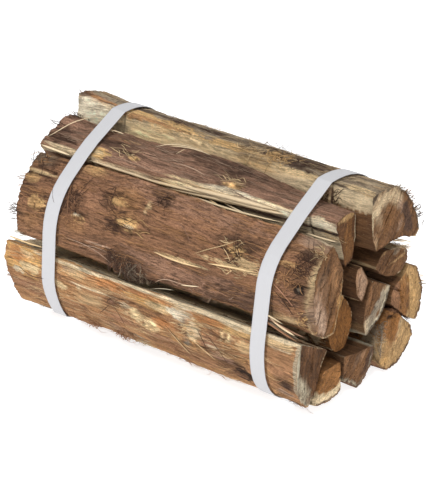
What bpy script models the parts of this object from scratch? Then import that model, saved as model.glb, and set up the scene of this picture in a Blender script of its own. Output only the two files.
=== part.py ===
"""Bundle of firewood: twelve split cedar logs held together by two flat plastic straps.

Frame: +X runs along the logs, -Y is the front, +Z is up, in metres. The origin is the
bottom centre of the bundle. The straps run under the logs, so their lowest, level runs
are what the bundle lies on.

The logs are drawn in millimetres in the cross-section of the bundle, as (y, z) about
the bundle's own axis. The whole bundle is moved to its frame at the end.
"""
import math
import random
from dataclasses import dataclass

import bmesh
import bpy
from mathutils import Vector

MM = 0.001

BUNDLE_RADIUS = 103.0

# Straps: standard packing strap, heat-welded where its ends overlap.
STRAP_WIDTH = 15.5
STRAP_THICKNESS = 0.9
STRAP_CLEARANCE = 0.35
WELD_LENGTH = 24.0
SHARP_TURN = math.radians(14)
PRESSED_FLAT = 1.6

# Logs: how finely the outlines and the lengths are divided, and how uneven the wood is.
SIDE_STEP = 9.0
STATIONS = 10
UNEVEN = 1.3
TAPER_LENGTH = 26.0


@dataclass
class Log:
    """One split log, from its cut at far_x to its cut at near_x (+X).

    near and far are its outlines there, anticlockwise seen from the near end. Each corner
    is (y, z, bow): bow is how far the side that leaves the corner bulges outwards, so a
    split face has about 0 and the round bark side has more. A slant tips a cut: how far it
    shifts along X per unit of y and of z. Where a log narrows or flares at a cut, near_cut
    or far_cut is its outline there, and near or far holds from TAPER_LENGTH inwards.
    """
    name: str
    colour: tuple
    near_x: float
    near: list
    far_x: float
    far: list
    near_slant: tuple = (0.0, 0.0)
    far_slant: tuple = (0.0, 0.0)
    near_cut: list = None
    far_cut: list = None


@dataclass
class Strap:
    """One strap around all the logs, at front_x on the bundle's front.

    Lean and skew are how far it shifts along X per unit of height and of depth.
    """
    name: str
    front_x: float
    lean: float
    skew: float
    weld_angle: float

    def centre_x(self, y, z):
        """Where the middle of the strap lies along X."""
        return self.front_x + self.lean * z + self.skew * (y + BUNDLE_RADIUS)


BARK = (0.26, 0.15, 0.08)
PEELED = (0.43, 0.25, 0.12)
HEARTWOOD = (0.19, 0.09, 0.04)
PALE_WOOD = (0.45, 0.30, 0.17)
STRAP_WHITE = (0.74, 0.75, 0.76)

LOGS = [
    Log("log_top", PEELED,
        170, [(-7, 104, 0), (-8, 84, 0), (-5, 61, 0), (2, 46, -1.5), (53, 41, 0), (76, 31, 1),
              (83, 36, 23)],
        -169, [(5, 107, 0), (3, 86, 0), (4, 66, 0), (6, 45, -1), (50, 39, 0), (72, 31, 0),
               (84, 38, 21)],
        near_slant=(-0.07, 0), far_slant=(0.04, 0),
        far_cut=[(7, 112, 0), (3, 88, 0), (4, 66, 0), (6, 45, -1), (50, 39, 0), (72, 31, 0),
                 (84, 38, 20)]),
    Log("log_upper_slab", BARK,
        158, [(-40, 88, 1), (-33, 65, 0), (-24, 38, 0), (-13, 40, 0), (-9, 62, 0), (-10, 87, 4)],
        -165, [(-56, 82, 1), (-44, 64, 0), (-30, 37, 0), (-6, 38, 0), (0, 62, 0), (-4, 93, 6)],
        near_slant=(0, 0.02)),
    Log("log_front_half", BARK,
        168, [(-53, 77, 17), (-94, 9, 2), (-80, 2, 1), (-60, -6, 0), (-46, 17, 1), (-37, 44, 1)],
        -159, [(-60, 78, 15), (-101, 10, 2), (-87, 3, 1), (-57, -4, 0), (-40, 15, 0), (-35, 42, 0)],
        near_slant=(-0.05, -0.10), far_slant=(-0.05, -0.03),
        near_cut=[(-51, 74, 17), (-90, 9, 3), (-77, -5, 1), (-60, -7, 0), (-47, 17, 1),
                  (-38, 43, 1)]),
    Log("log_lower_front", PEELED,
        162, [(-101, -1, 3), (-102, -48, 4), (-79, -77, 0), (-71, -68, 0), (-65.5, -58, 0),
              (-61.5, -46, 0), (-50, -31, 0)],
        -176, [(-97, -4, 3), (-96, -39, 1), (-77, -76, 0), (-68, -70, 0), (-60, -58, 0),
               (-54, -44, 0), (-48, -23, 0)],
        near_slant=(-0.10, 0.04), far_slant=(0, 0.02)),
    Log("log_bottom_wedge", HEARTWOOD,
        161, [(-59, -48, 0), (-63, -58, 0), (-68, -68, 0), (-73, -79.5, 4), (-30, -91.5, 0),
              (-31, -50, 0)],
        -163, [(-50, -47, 0), (-56, -60, 0), (-64, -73, 0), (-68, -81, 4), (-27, -91.5, 0),
               (-28, -49, 0)],
        far_slant=(0.03, 0.02),
        near_cut=[(-59, -48, 0), (-63, -58, 0), (-68, -68, 0), (-73, -78.5, 4), (-29, -81, 0),
                  (-31, -50, 0)]),
    Log("log_bottom_quarter", HEARTWOOD,
        161, [(-26, -48, 0), (-26, -74, 0), (-3, -92, 2), (14, -80, 1), (21, -68, 0),
              (21, -56, 0), (-8, -53, 0)],
        -165, [(-25, -47, 0), (-24, -76, 0), (-2, -92, 2), (17, -80, 1), (22, -67, 0),
               (21, -54, 0), (-6, -50, 0)],
        near_slant=(0.03, 0)),
    Log("log_core_tall", HEARTWOOD,
        154, [(-21, 10, 0), (-33, 10, 1), (-45, -15, 1), (-37, -40, 1), (-24, -46, 1),
              (-15, -46, 1), (-5, -27, 1), (-4, -14, 0), (-11, -3, 0)],
        -166, [(-22, 12, 0), (-37, 11, 1), (-49, -11, 1), (-41, -38, 1), (-26, -43, 1),
               (-11, -44, 1), (-2.5, -27, 1), (-2.5, -12, 0), (-10, 0, 0)]),
    Log("log_core_stick", PALE_WOOD,
        163, [(-13, 34, 0), (-15, 23, 0), (-13, 8, 0), (-3, -4, 0), (8, 13, 0), (-5, 33, 0)],
        -158, [(-16, 35, 0), (-32, 26, 0), (-19, 15, 0), (-6, 3, 0), (7, 15, 0), (-4, 34, 0)]),
    Log("log_core_slab", HEARTWOOD,
        163, [(12, 12, 0), (3, -9, 0), (0, -27, 0), (5, -43, 0), (27, -32, 1), (39, -15, 0),
              (45, -5, 0)],
        -170, [(12, 12, 0), (2, -7, 0), (0.5, -27, 0), (6, -46, 0), (29, -35, 1), (40, -16, 0),
               (44, -3, 0)],
        near_slant=(0.02, 0)),
    Log("log_right_core", HEARTWOOD,
        163, [(29, 34, 1), (16, 22, 0), (24, 13, 0), (39, 4, 0), (48, 2, 0), (60, 1, 0),
              (70, 9, 2), (72, 19, 1), (61, 27, 1)],
        -163, [(30, 36, 1), (13, 26, 0), (19, 16, 0), (38, 5, 0), (49, 2, 0), (62, 2, 0),
               (74, 9, 2), (76, 21, 1), (62, 30, 1)]),
    Log("log_right_upper", PALE_WOOD,
        164, [(73, 5, 0), (66, -2, 0), (49, -7, 0), (42, -16, 0), (43, -25, 0), (70, -49, 0),
              (86, -59, 3), (97, -45, 4), (93, -13, 3)],
        -169, [(78, 3, 0), (66, -3, 0), (48, -6, 0), (43, -16, 0), (43, -26, 0), (70, -49, 0),
               (84, -58, 3), (95, -44, 4), (95, -14, 3)],
        far_slant=(0.05, 0)),
    Log("log_right_lower", PALE_WOOD,
        165, [(41, -32, 0), (33, -38, 0), (25, -50, 0), (24, -77, 2), (37, -91, 1), (56, -92, 3),
              (84, -72, 3), (80, -61, 1), (54, -39, 0)],
        -171, [(42, -31, 0), (34, -37, 0), (26, -50, 0), (25, -76, 2), (38, -91, 1), (57, -92, 3),
               (83, -73, 3), (79, -59, 1), (55, -39, 0)],
        near_slant=(-0.03, 0)),
]

STRAPS = [
    Strap("strap_near", 121.5, 0.0, 0.0, math.radians(-12)),
    Strap("strap_far", -118.0, 0.085, -0.085, math.radians(-20)),
]


def side_points(corners, steps):
    """Points round an outline: each side is divided into its steps and bulges by its bow."""
    points = []
    for index, (y0, z0, bow) in enumerate(corners):
        y1, z1, _ = corners[(index + 1) % len(corners)]
        length = math.hypot(y1 - y0, z1 - z0)
        out_y, out_z = (z1 - z0) / length, (y0 - y1) / length
        for step in range(steps[index]):
            along = step / steps[index]
            bulge = 4 * bow * along * (1 - along)
            points.append((y0 + (y1 - y0) * along + out_y * bulge,
                           z0 + (z1 - z0) * along + out_z * bulge))
    return points


class Loft:
    """The cross-sections of one log along its length."""

    def __init__(self, log):
        self.log = log
        corners = log.near
        steps = []
        for index, corner in enumerate(corners):
            following = corners[(index + 1) % len(corners)]
            steps.append(max(1, round(math.dist(corner[:2], following[:2]) / SIDE_STEP)))
        self.near = side_points(log.near, steps)
        self.far = side_points(log.far, steps)
        self.cuts = [side_points(log.far_cut or log.far, steps),
                     side_points(log.near_cut or log.near, steps)]
        self.place = [(side, step / count) for side, count in enumerate(steps)
                      for step in range(count)]
        self.centre_y = sum(y for y, _ in self.near) / len(self.near)
        self.centre_z = sum(z for _, z in self.near) / len(self.near)
        dice = random.Random(log.name)
        self.dents = [[dice.uniform(0, UNEVEN) for _ in corners] for _ in range(STATIONS)]

    def dent(self, share, point):
        """How far the wood falls short of its outline at a point, at a share of the length."""
        side, along = self.place[point]
        following = (side + 1) % len(self.log.near)
        station = share * (STATIONS - 1)
        low = min(int(station), STATIONS - 2)
        weight = station - low
        depths = [row[side] * (1 - along) + row[following] * along
                  for row in self.dents[low:low + 2]]
        return depths[0] * (1 - weight) + depths[1] * weight

    def section(self, share):
        """The outline, as (y, z), at a share of the length: 0 is the far end, 1 the near end."""
        length = self.log.near_x - self.log.far_x
        far_taper, near_taper = (max(0.0, 1 - from_cut * length / TAPER_LENGTH)
                                 for from_cut in (share, 1 - share))
        outline = []
        for index, (near, far, far_cut, near_cut) in enumerate(
                zip(self.near, self.far, *self.cuts)):
            y, z = (far[axis] + (near[axis] - far[axis]) * share
                    + (far_cut[axis] - far[axis]) * far_taper
                    + (near_cut[axis] - near[axis]) * near_taper for axis in (0, 1))
            arm_y, arm_z = y - self.centre_y, z - self.centre_z
            inwards = self.dent(share, index) / math.hypot(arm_y, arm_z)
            outline.append((y - arm_y * inwards, z - arm_z * inwards))
        return outline

    def cut_x(self, y, z, slant, x):
        """Where a cut lies along X at a point of the outline."""
        return x + slant[0] * (y - self.centre_y) + slant[1] * (z - self.centre_z)

    def rings(self):
        """The cross-sections as closed rings of 3-D points, from the far end to the near end."""
        rings = []
        taper = TAPER_LENGTH / (self.log.near_x - self.log.far_x)
        shares = [station / (STATIONS - 1) for station in range(STATIONS)]
        for share in sorted(shares + [taper, 1 - taper]):
            ring = []
            for y, z in self.section(share):
                far = self.cut_x(y, z, self.log.far_slant, self.log.far_x)
                near = self.cut_x(y, z, self.log.near_slant, self.log.near_x)
                ring.append(Vector((far + (near - far) * share, y, z)))
            rings.append(ring)
        return rings

    def section_at(self, x):
        """The outline where a plane across the bundle at x meets the log."""
        share = (x - self.log.far_x) / (self.log.near_x - self.log.far_x)
        return self.section(min(max(share, 0.0), 1.0))


def convex_hull(points):
    """The convex outline around a set of (y, z) points, anticlockwise."""
    points = sorted(set(points))

    def half(ordered):
        chain = []
        for point in ordered:
            while len(chain) > 1:
                (y0, z0), (y1, z1) = chain[-2], chain[-1]
                turn = (y1 - y0) * (point[1] - z0) - (z1 - z0) * (point[0] - y0)
                if turn > 0:
                    break
                chain.pop()
            chain.append(point)
        return chain[:-1]

    return half(points) + half(points[::-1])


def press_flat(outline, level):
    """Make the lowest run level, because the bundle's weight lies on it."""
    return [(y, level if z < level + PRESSED_FLAT else z) for y, z in outline]


def strap_path(hull):
    """The strap's route around the hull: (point, outward direction), with bends at sharp corners."""
    path = []
    for index, (y, z) in enumerate(hull):
        before = Vector((y, z)) - Vector(hull[index - 1])
        after = Vector(hull[(index + 1) % len(hull)]) - Vector((y, z))
        first = math.atan2(-before.x, before.y)
        turn = before.angle(after)
        bends = 1 if turn < SHARP_TURN else 2 + int(turn / SHARP_TURN / 2)
        for bend in range(bends):
            share = 0.5 if bends == 1 else bend / (bends - 1)
            angle = first + turn * share
            reach = 1 / math.cos(turn / 2) if bends == 1 else 1.0
            path.append((Vector((y, z)), Vector((math.cos(angle), math.sin(angle))) * reach))
    return path


def mesh_object(name, colour, rings, closed_along, roughness):
    """A closed solid from rings of points; the last ring meets the first if closed_along."""
    mesh = bpy.data.meshes.new(name)
    shape = bmesh.new()
    loops = [[shape.verts.new(point * MM) for point in ring] for ring in rings]
    pairs = list(zip(loops, loops[1:]))
    if closed_along:
        pairs.append((loops[-1], loops[0]))
    else:
        shape.faces.new(reversed(loops[0]))
        shape.faces.new(loops[-1])
    for loop, following in pairs:
        for index in range(len(loop)):
            other = (index + 1) % len(loop)
            shape.faces.new((loop[index], loop[other], following[other], following[index]))
    bmesh.ops.triangulate(shape, faces=shape.faces)
    bmesh.ops.recalc_face_normals(shape, faces=shape.faces)
    shape.to_mesh(mesh)
    shape.free()

    material = bpy.data.materials.new(name)
    material.use_nodes = True
    shader = material.node_tree.nodes["Principled BSDF"]
    shader.inputs["Base Color"].default_value = (*colour, 1)
    shader.inputs["Roughness"].default_value = roughness
    shader.inputs["Metallic"].default_value = 0.0
    mesh.materials.append(material)
    piece = bpy.data.objects.new(name, mesh)
    bundle.objects.link(piece)
    return piece


def make_strap(strap, lofts, level):
    """One strap, tight around every log's cross-section where it passes."""
    middle_x = strap.centre_x(0, 0)
    reach_x = STRAP_WIDTH / 2 + max(abs(strap.lean), abs(strap.skew)) * BUNDLE_RADIUS
    points = []
    for loft in lofts:
        for x in (-reach_x, 0, reach_x):
            points += loft.section_at(middle_x + x)
    hull = convex_hull(press_flat(convex_hull(points), level))
    path = strap_path(hull)
    weld = Vector((math.cos(strap.weld_angle), math.sin(strap.weld_angle)))
    weld_at = max((point for point, _ in path), key=weld.dot)
    rings = []
    for point, outward in path:
        layers = 2 if (point - weld_at).length < WELD_LENGTH / 2 else 1
        inner = point + outward * STRAP_CLEARANCE
        outer = point + outward * (STRAP_CLEARANCE + STRAP_THICKNESS * layers)
        x = strap.centre_x(point.x, point.y)
        near, far = x + STRAP_WIDTH / 2, x - STRAP_WIDTH / 2
        rings.append([Vector((far, *inner)), Vector((far, *outer)), Vector((near, *outer)),
                      Vector((near, *inner))])
    return mesh_object(strap.name, STRAP_WHITE, rings, True, 0.45)


def lowest_level(lofts):
    """The height of the lowest wood under the straps."""
    return min(z for strap in STRAPS for loft in lofts
               for _, z in loft.section_at(strap.centre_x(0, 0)))


def settle(pieces):
    """Move the bundle so that its bottom centre is the origin."""
    corners = [vertex.co for piece in pieces for vertex in piece.data.vertices]
    low = [min(corner[axis] for corner in corners) for axis in range(3)]
    high = [max(corner[axis] for corner in corners) for axis in range(3)]
    middle = Vector(((low[0] + high[0]) / 2, (low[1] + high[1]) / 2, low[2]))
    for piece in pieces:
        for vertex in piece.data.vertices:
            vertex.co -= middle


for old in list(bpy.data.objects):
    bpy.data.objects.remove(old, do_unlink=True)

bundle = bpy.data.collections.new("bundle_of_firewood")
bpy.context.scene.collection.children.link(bundle)

lofts = [Loft(log) for log in LOGS]
pieces = [mesh_object(loft.log.name, loft.log.colour, loft.rings(), False, 0.9) for loft in lofts]
ground = lowest_level(lofts)
pieces += [make_strap(strap, lofts, ground) for strap in STRAPS]
settle(pieces)
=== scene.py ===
"""Firewood bundle: rough split logs, splinters and straps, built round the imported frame.

Lengths are millimetres about the middle of the bundle's round section until a mesh is
written in metres. X runs along the logs towards the near end, -Y is the front, Z is up.
"""

import itertools
import math
from dataclasses import dataclass, field
from functools import partial

import bmesh
import bpy
import numpy as np
from bpy.props import FloatProperty, FloatVectorProperty, IntProperty, PointerProperty
from mathutils import Matrix, Vector
from mathutils.bvhtree import BVHTree


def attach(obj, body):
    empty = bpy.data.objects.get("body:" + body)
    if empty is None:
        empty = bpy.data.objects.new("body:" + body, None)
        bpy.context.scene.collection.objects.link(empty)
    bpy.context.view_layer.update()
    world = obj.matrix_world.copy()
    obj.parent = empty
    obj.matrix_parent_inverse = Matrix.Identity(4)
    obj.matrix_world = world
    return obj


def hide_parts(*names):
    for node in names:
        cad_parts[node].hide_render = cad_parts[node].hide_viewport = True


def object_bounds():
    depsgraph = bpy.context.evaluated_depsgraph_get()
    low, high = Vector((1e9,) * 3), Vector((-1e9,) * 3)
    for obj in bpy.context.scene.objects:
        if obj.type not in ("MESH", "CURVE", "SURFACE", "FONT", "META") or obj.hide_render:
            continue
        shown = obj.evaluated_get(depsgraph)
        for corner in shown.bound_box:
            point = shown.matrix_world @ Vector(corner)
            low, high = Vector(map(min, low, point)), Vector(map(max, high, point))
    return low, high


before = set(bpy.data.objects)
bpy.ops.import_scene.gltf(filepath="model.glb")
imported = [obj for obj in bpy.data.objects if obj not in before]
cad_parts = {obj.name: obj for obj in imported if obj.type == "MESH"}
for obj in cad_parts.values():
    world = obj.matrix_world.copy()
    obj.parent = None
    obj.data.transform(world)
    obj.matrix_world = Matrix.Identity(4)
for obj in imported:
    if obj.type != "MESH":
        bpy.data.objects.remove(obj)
CAD_BOX = [list(corner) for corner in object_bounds()]

bl_info = {
    "name": "Firewood Bundle",
    "version": (1, 0, 0),
    "blender": (4, 5, 0),
    "location": "View3D > Sidebar > Firewood",
    "description": "Builds a strapped bundle of split logs from its packed frame",
    "category": "Add Mesh",
}

MM = 0.001
MIDDLE = Vector((0.001966, 0.00198, 0.093299))
BOX_MARGIN = 0.05
BOX_LOW = (np.array(CAD_BOX[0]) - np.array(MIDDLE)) / MM + BOX_MARGIN
BOX_HIGH = (np.array(CAD_BOX[1]) - np.array(MIDDLE)) / MM - BOX_MARGIN

STRAP_WIDTH = 15.5
STRAP_HALF = STRAP_WIDTH / 2
STRAP_FRONT = -103.0
STRAPS = {"strap_near": (121.5, 0.0, 0.0), "strap_far": (-118.0, 0.085, -0.085)}
STRAP_POINTS = 900
STRAP_BEVEL = 0.28
STRAP_REACH = 300

CAMERA_AZIMUTH, CAMERA_ELEVATION = 37, 26.5
KEY_DIRECTION, KEY_SOFTNESS = (0.22, -0.62, 0.75), 14
FLOOR_SIZE = 6
WHITE = (1, 1, 1, 1)


def strap_x(node, y, z):
    """Where the middle of a strap lies along X: its place on the front, its lean, its skew."""
    front, lean, skew = STRAPS[node]
    return front + lean * z + skew * (y - STRAP_FRONT)


# ---------------------------------------------------------------- sizes and colours

def colour(name, rgb, description):
    """A colour that a user may change."""
    return FloatVectorProperty(name=name, description=description, default=rgb,
                               subtype="COLOR", size=3, min=0, max=1)


def millimetres(name, size, description):
    """A length that a user may change, in millimetres."""
    return FloatProperty(name=name, description=description, default=size, min=0,
                         soft_max=50, subtype="DISTANCE_CAMERA", unit="CAMERA")


class WoodColours(bpy.types.PropertyGroup):
    """The colours of the bark and of the wood inside it."""
    brown_bark: colour("Brown bark", (0.325, 0.165, 0.088), "Fibrous bark of the front log")
    # Dark bark also serves as painted shade: under the upper slab's pale band, on the front log's
    # lower part by the gap, and in the groove beside the straps.
    dark_bark: colour("Dark bark", (0.075, 0.040, 0.026), "Weathered bark in hollows")
    purple_bark: colour("Purple bark", (0.380, 0.214, 0.139), "Bark of the upper slab")
    grey_bark: colour("Grey bark", (0.400, 0.310, 0.205), "Weathered bark of the top log")
    orange_bark: colour("Orange bark", (0.700, 0.440, 0.190), "Worn bark of the top log")
    amber: colour("Amber", (0.690, 0.400, 0.150), "Bare orange wood")
    peeled: colour("Peeled wood", (0.485, 0.252, 0.113), "Wood that the bark came off")
    tan: colour("Tan fibre", (0.760, 0.550, 0.300), "Loose light bark fibres")
    sapwood: colour("Sapwood", (0.800, 0.640, 0.420), "Pale wood just under the bark")
    straw: colour("Straw", (0.720, 0.560, 0.350), "Weathered pale split face")
    rim_wood: colour("Rim wood", (0.385, 0.238, 0.106), "Tan sapwood of a cut end")
    red_heart: colour("Red heartwood", (0.163, 0.079, 0.034), "Sawn heartwood")
    orange_heart: colour("Orange heartwood", (0.250, 0.112, 0.036), "Bright heartwood")
    umber_heart: colour("Umber heartwood", (0.188, 0.078, 0.021), "Heartwood of the core log")
    dark_heart: colour("Dark heartwood", (0.105, 0.048, 0.020), "Old sawn heartwood")
    buff: colour("Buff", (0.640, 0.500, 0.325), "Torn ribbons of the upper slab")
    honey: colour("Honey", (0.980, 0.740, 0.420), "Warm pale wood of the top log")
    rust: colour("Rust", (0.545, 0.234, 0.088), "Orange streaks of the lower log")
    russet: colour("Russet", (0.400, 0.205, 0.120), "Smooth reddish inner bark")
    pink_wood: colour("Pink wood", (0.290, 0.165, 0.092), "Freshly split stick")
    grey_wood: colour("Grey wood", (0.260, 0.205, 0.145), "Stained sapwood")
    cream: colour("Cream", (0.930, 0.810, 0.600), "Clean pale wood of a split face")
    grey_sap: colour("Grey sapwood", (0.480, 0.420, 0.300), "Pale sapwood gone grey")
    blush: colour("Blush wood", (0.460, 0.310, 0.215), "Pinkish torn wood of the front log")
    # Mould is also used as painted shadow under the upper slab's pale band.
    soot: colour("Mould", (0.022, 0.014, 0.010), "Cracks and black mould")


class WoodSizes(bpy.types.PropertyGroup):
    """How finely the logs are made and how rough they are."""
    column_width: millimetres("Column width", 0.85, "Mesh spacing round a log")
    ring_width: millimetres("Ring width", 1.1, "Mesh spacing across a cut end")
    stations: IntProperty(name="Stations", description="Mesh rows along a log", default=190,
                          min=12, max=400)
    bark_relief: millimetres("Bark relief", 1.5, "How deep the furrows in the bark are")
    split_relief: millimetres("Split relief", 1.1, "How deep the ridges of a split face are")
    saw_relief: millimetres("Saw relief", 0.8, "How rough a sawn end is")
    fray: millimetres("Fray", 2.0, "How far the bark's rim breaks back from a cut")


class StrapSizes(bpy.types.PropertyGroup):
    """The plastic straps."""
    shade: colour("Strap", (0.550, 0.550, 0.570), "White polypropylene")
    roughness: FloatProperty(name="Roughness", description="How matt the strap is",
                             default=0.42, min=0, max=1, subtype="FACTOR")
    thickness: millimetres("Thickness", 0.9, "Thickness of the strap")
    emboss: millimetres("Emboss", 1.3, "Pitch of the pattern rolled into the strap")


class StageSizes(bpy.types.PropertyGroup):
    """The floor, the lights and the camera."""
    floor_shade: colour("Floor", (0.50, 0.50, 0.50), "Pale floor")
    sky: FloatProperty(name="Sky", description="Strength of the light from all round",
                       default=0.82, min=0)
    key: FloatProperty(name="Key light", description="Strength of the main soft light",
                       default=1.55, min=0, unit="NONE")
    lens: FloatProperty(name="Lens", description="Focal length of the camera",
                        default=157.2, min=1, unit="CAMERA")
    distance: FloatProperty(name="Distance", description="From the camera to the bundle",
                            default=2.0, min=0.1, subtype="DISTANCE", unit="LENGTH")


def palette():
    """The wood colours by name, as arrays."""
    group = bpy.context.scene.firewood_colours
    return {name: np.array(getattr(group, name)) for name in WoodColours.__annotations__}


# ---------------------------------------------------------------- smooth noise

HASH = (73856093, 19349663, 83492791)
SCRAMBLE = ((15, 2246822519), (13, 3266489917))
SEED_STEP = 40503
WORD, HALF_WORD = 0xFFFFFFFF, 0xFFFF
FALLOFF, GAIN = 0.7, 1.35


def smooth(low, high, value):
    """0 below low, 1 above high, and a smooth step between."""
    share = np.clip((value - low) / (high - low), 0, 1)
    return share * share * (3 - 2 * share)


def mix(first, second, weight):
    """Blend two colours or colour arrays by an array of weights."""
    weight = np.asarray(weight)[..., None]
    return first * (1 - weight) + second * weight


def lattice(points, seed):
    """Smooth noise from -1 to 1 at an array of 3-D points, one lump per unit."""
    cell = np.floor(points).astype(np.int64)
    part = points - cell
    ease = part * part * part * (part * (part * 6 - 15) + 10)
    total = np.zeros(points.shape[:-1])
    for corner in itertools.product((0, 1), repeat=3):
        at = cell + corner
        key = np.bitwise_xor.reduce(at * HASH, axis=-1)
        key = (key + seed * SEED_STEP) & WORD
        for shift, factor in SCRAMBLE:
            key = ((key ^ (key >> shift)) * factor) & WORD
        value = ((key ^ (key >> 16)) & HALF_WORD) / (HALF_WORD / 2) - 1
        total += value * np.prod(np.where(corner, ease, 1 - ease), axis=-1)
    return total


def grain(along, across, length, width, seed, octaves=3):
    """Noise drawn out along the grain: lumps of a length and a width in mm."""
    total, weight = 0.0, 0.0
    for octave in range(octaves):
        fine = 2 ** octave
        points = np.stack((along / length * fine, across / width * fine,
                           np.full_like(along, 0.37 * octave)), axis=-1)
        total = total + lattice(points, seed + octave) / fine ** FALLOFF
        weight += 1 / fine ** FALLOFF
    return total / weight * GAIN


def lumps(points, size, seed, octaves=2):
    """Noise with lumps of one size in mm in every direction."""
    return sum(lattice(points / size * 2 ** o, seed + o) / 2 ** o for o in range(octaves)) / 1.5


# ---------------------------------------------------------------- what each log is like

@dataclass
class Mark:
    """A local feature of a log's side, at a place on it.

    long is its half length along the grain and wide its half width across it. A patch has
    torn edges and a tint fades out. A line is a thin raised strip, a crack and a chip are
    cut in, a knot has a rim, and a swell only bulges, by its strength in mm.
    """
    kind: str
    x: float
    y: float
    z: float
    long: float
    wide: float
    shade: str
    strength: float = 1.0


@dataclass
class EndMark:
    """A patch, tint or crack of the near cut end. turn is its long axis from +Y, in degrees."""
    kind: str
    y: float
    z: float
    long: float
    wide: float
    turn: float
    shade: str
    strength: float = 1.0


patch, tint, line, knot, crack, chip, swell = (
    partial(Mark, kind) for kind in ("patch", "tint", "line", "knot", "crack", "chip", "swell"))
end_patch, end_tint, end_crack = (partial(EndMark, kind) for kind in ("patch", "tint", "crack"))


@dataclass
class Tuft:
    """Loose fibres that start within reach of a place.

    They point along X towards heading, or either way if it is 0, and lift off the log.
    """
    x: float
    y: float
    z: float
    count: int
    reach: float
    length: float
    lift: float
    shade: str
    heading: int = 0
    stray: float = 0.22


@dataclass
class Sliver:
    """One torn strip of wood along a path of points."""
    path: list
    width: float
    thickness: float
    shade: str


@dataclass
class Timber:
    """One split log: its CAD node, its slot, its colours and its features.

    barks are its bark's main, dark and light colours, and woods its sapwood and heartwood.
    Its section has bark from the corner bark_from to bark_to, both (y, z), going
    anticlockwise seen from the near end. The sapwood is sap thick on a split face and rim
    thick on the cut ends. saw is the angle of the saw marks from +Y, in degrees. lint is its
    number of loose wisps, weave the length of its fibres, and bold its bark's contrast.
    """
    node: str
    slot: str
    seed: int
    barks: tuple
    woods: tuple
    bark_from: tuple = None
    bark_to: tuple = None
    sap: float = 8.0
    rim: float = 8.0
    pith: tuple = (0.0, 0.0)
    saw: float = 80.0
    lint: int = 10
    lint_shade: str = "tan"
    weave: float = 13.0
    bold: float = 1.0
    marks: list = field(default_factory=list)
    end_marks: list = field(default_factory=list)
    tufts: list = field(default_factory=list)
    slivers: list = field(default_factory=list)


TOP = Timber("log_top", "grey_bark_wood", 11, ("grey_bark", "dark_bark", "orange_bark"),
             ("straw", "red_heart"), bark_from=(83, 36), bark_to=(-7, 104), sap=16, rim=-4,
             pith=(2, 26), saw=46, lint=50, weave=12)
TOP.marks = [
    patch(-150, 12, 107.5, 28, 9, "peeled", 0.9),
    patch(-138, 8, 106, 20, 3, "amber", 0.8),
    patch(-160, 8, 108, 8, 5, "dark_bark", 0.7),
    patch(-104, 12, 104, 30, 9, "orange_bark"),
    patch(-62, 9, 104.6, 34, 10, "orange_bark"),
    patch(-38, 22, 102, 24, 6, "dark_bark", 0.5),
    patch(-20, 2, 104, 26, 5, "tan", 0.8),
    patch(12, 6, 104.6, 30, 6, "orange_bark", 0.9),
    patch(36, 14, 104, 20, 6, "dark_bark", 0.65),
    patch(44, 4, 104, 18, 4, "orange_bark", 0.8),
    patch(66, 12, 103.6, 22, 6, "dark_bark", 0.75),
    knot(50, 20, 102.5, 6, 5, "orange_bark", 0.7),
    patch(86, -3, 103.6, 34, 4, "tan", 0.75),
    patch(88, 6, 104, 22, 4, "dark_bark", 0.7),
    patch(-75, 27, 102, 60, 6, "dark_bark", 0.75),
    patch(5, 27, 101, 50, 8, "dark_bark", 0.4),
    patch(80, 30, 99, 34, 11, "dark_bark", 0.85),
    patch(96, 20, 101, 20, 7, "dark_bark", 0.8),
    knot(-60, 21, 103, 5, 4, "dark_bark", 0.8),
    patch(150, 18, 102, 16, 8, "grey_bark", 0.8),
    tint(134, 12, 103.5, 16, 9, "grey_bark", 0.8),
    patch(144, 8, 104, 14, 4, "dark_bark", 0.4),
    patch(156, 1, 103.5, 14, 5, "tan", 0.8),
    tint(-150, 3.5, 98, 34, 17, "cream"),
    patch(-154, 3.5, 98, 22, 12, "cream", 0.9),
    patch(-150, 15, 107, 22, 8.5, "russet", 0.5),
    patch(-148, 14, 106.5, 22, 4, "peeled"),
    patch(-166, 13, 110, 7, 7, "dark_bark", 0.6),
    line(-138, 12, 106, 20, 1.6, "dark_bark", 0.6),
    tint(-74, 1.2, 93.0, 50, 12, "honey"),
    patch(-70, 1, 93, 26, 5, "honey", 0.8),
    tint(-24, -0.5, 95, 26, 6, "tan", 0.8),
    tint(4, -1, 99, 30, 5.0, "honey"),
    tint(48, -2, 98, 34, 5, "orange_bark", 0.7),
    patch(-84, 6, 105, 30, 4, "peeled", 0.85),
    patch(-60, 6, 105, 20, 3, "peeled", 0.7),
    tint(40, 3, 104.5, 14, 4, "grey_bark", 0.8),
    crack(-72, 14, 104, 12, 1.4, "russet", 0.7),
    patch(-118, 2, 88, 14, 9, "grey_wood", 0.7),
    patch(30, -1.5, 100.5, 60, 1.8, "dark_bark", 0.35),
    patch(148, -6.5, 93, 26, 8, "straw", 0.8),
    patch(146, -6, 74, 26, 12, "dark_heart", 0.4),
    patch(127, -5, 95, 5, 5, "brown_bark", 0.7),
    crack(130, -6, 84, 9, 3.0, "dark_bark", 0.6),
    tint(129, -6, 89, 12, 6, "tan", 0.5),
]
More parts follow.
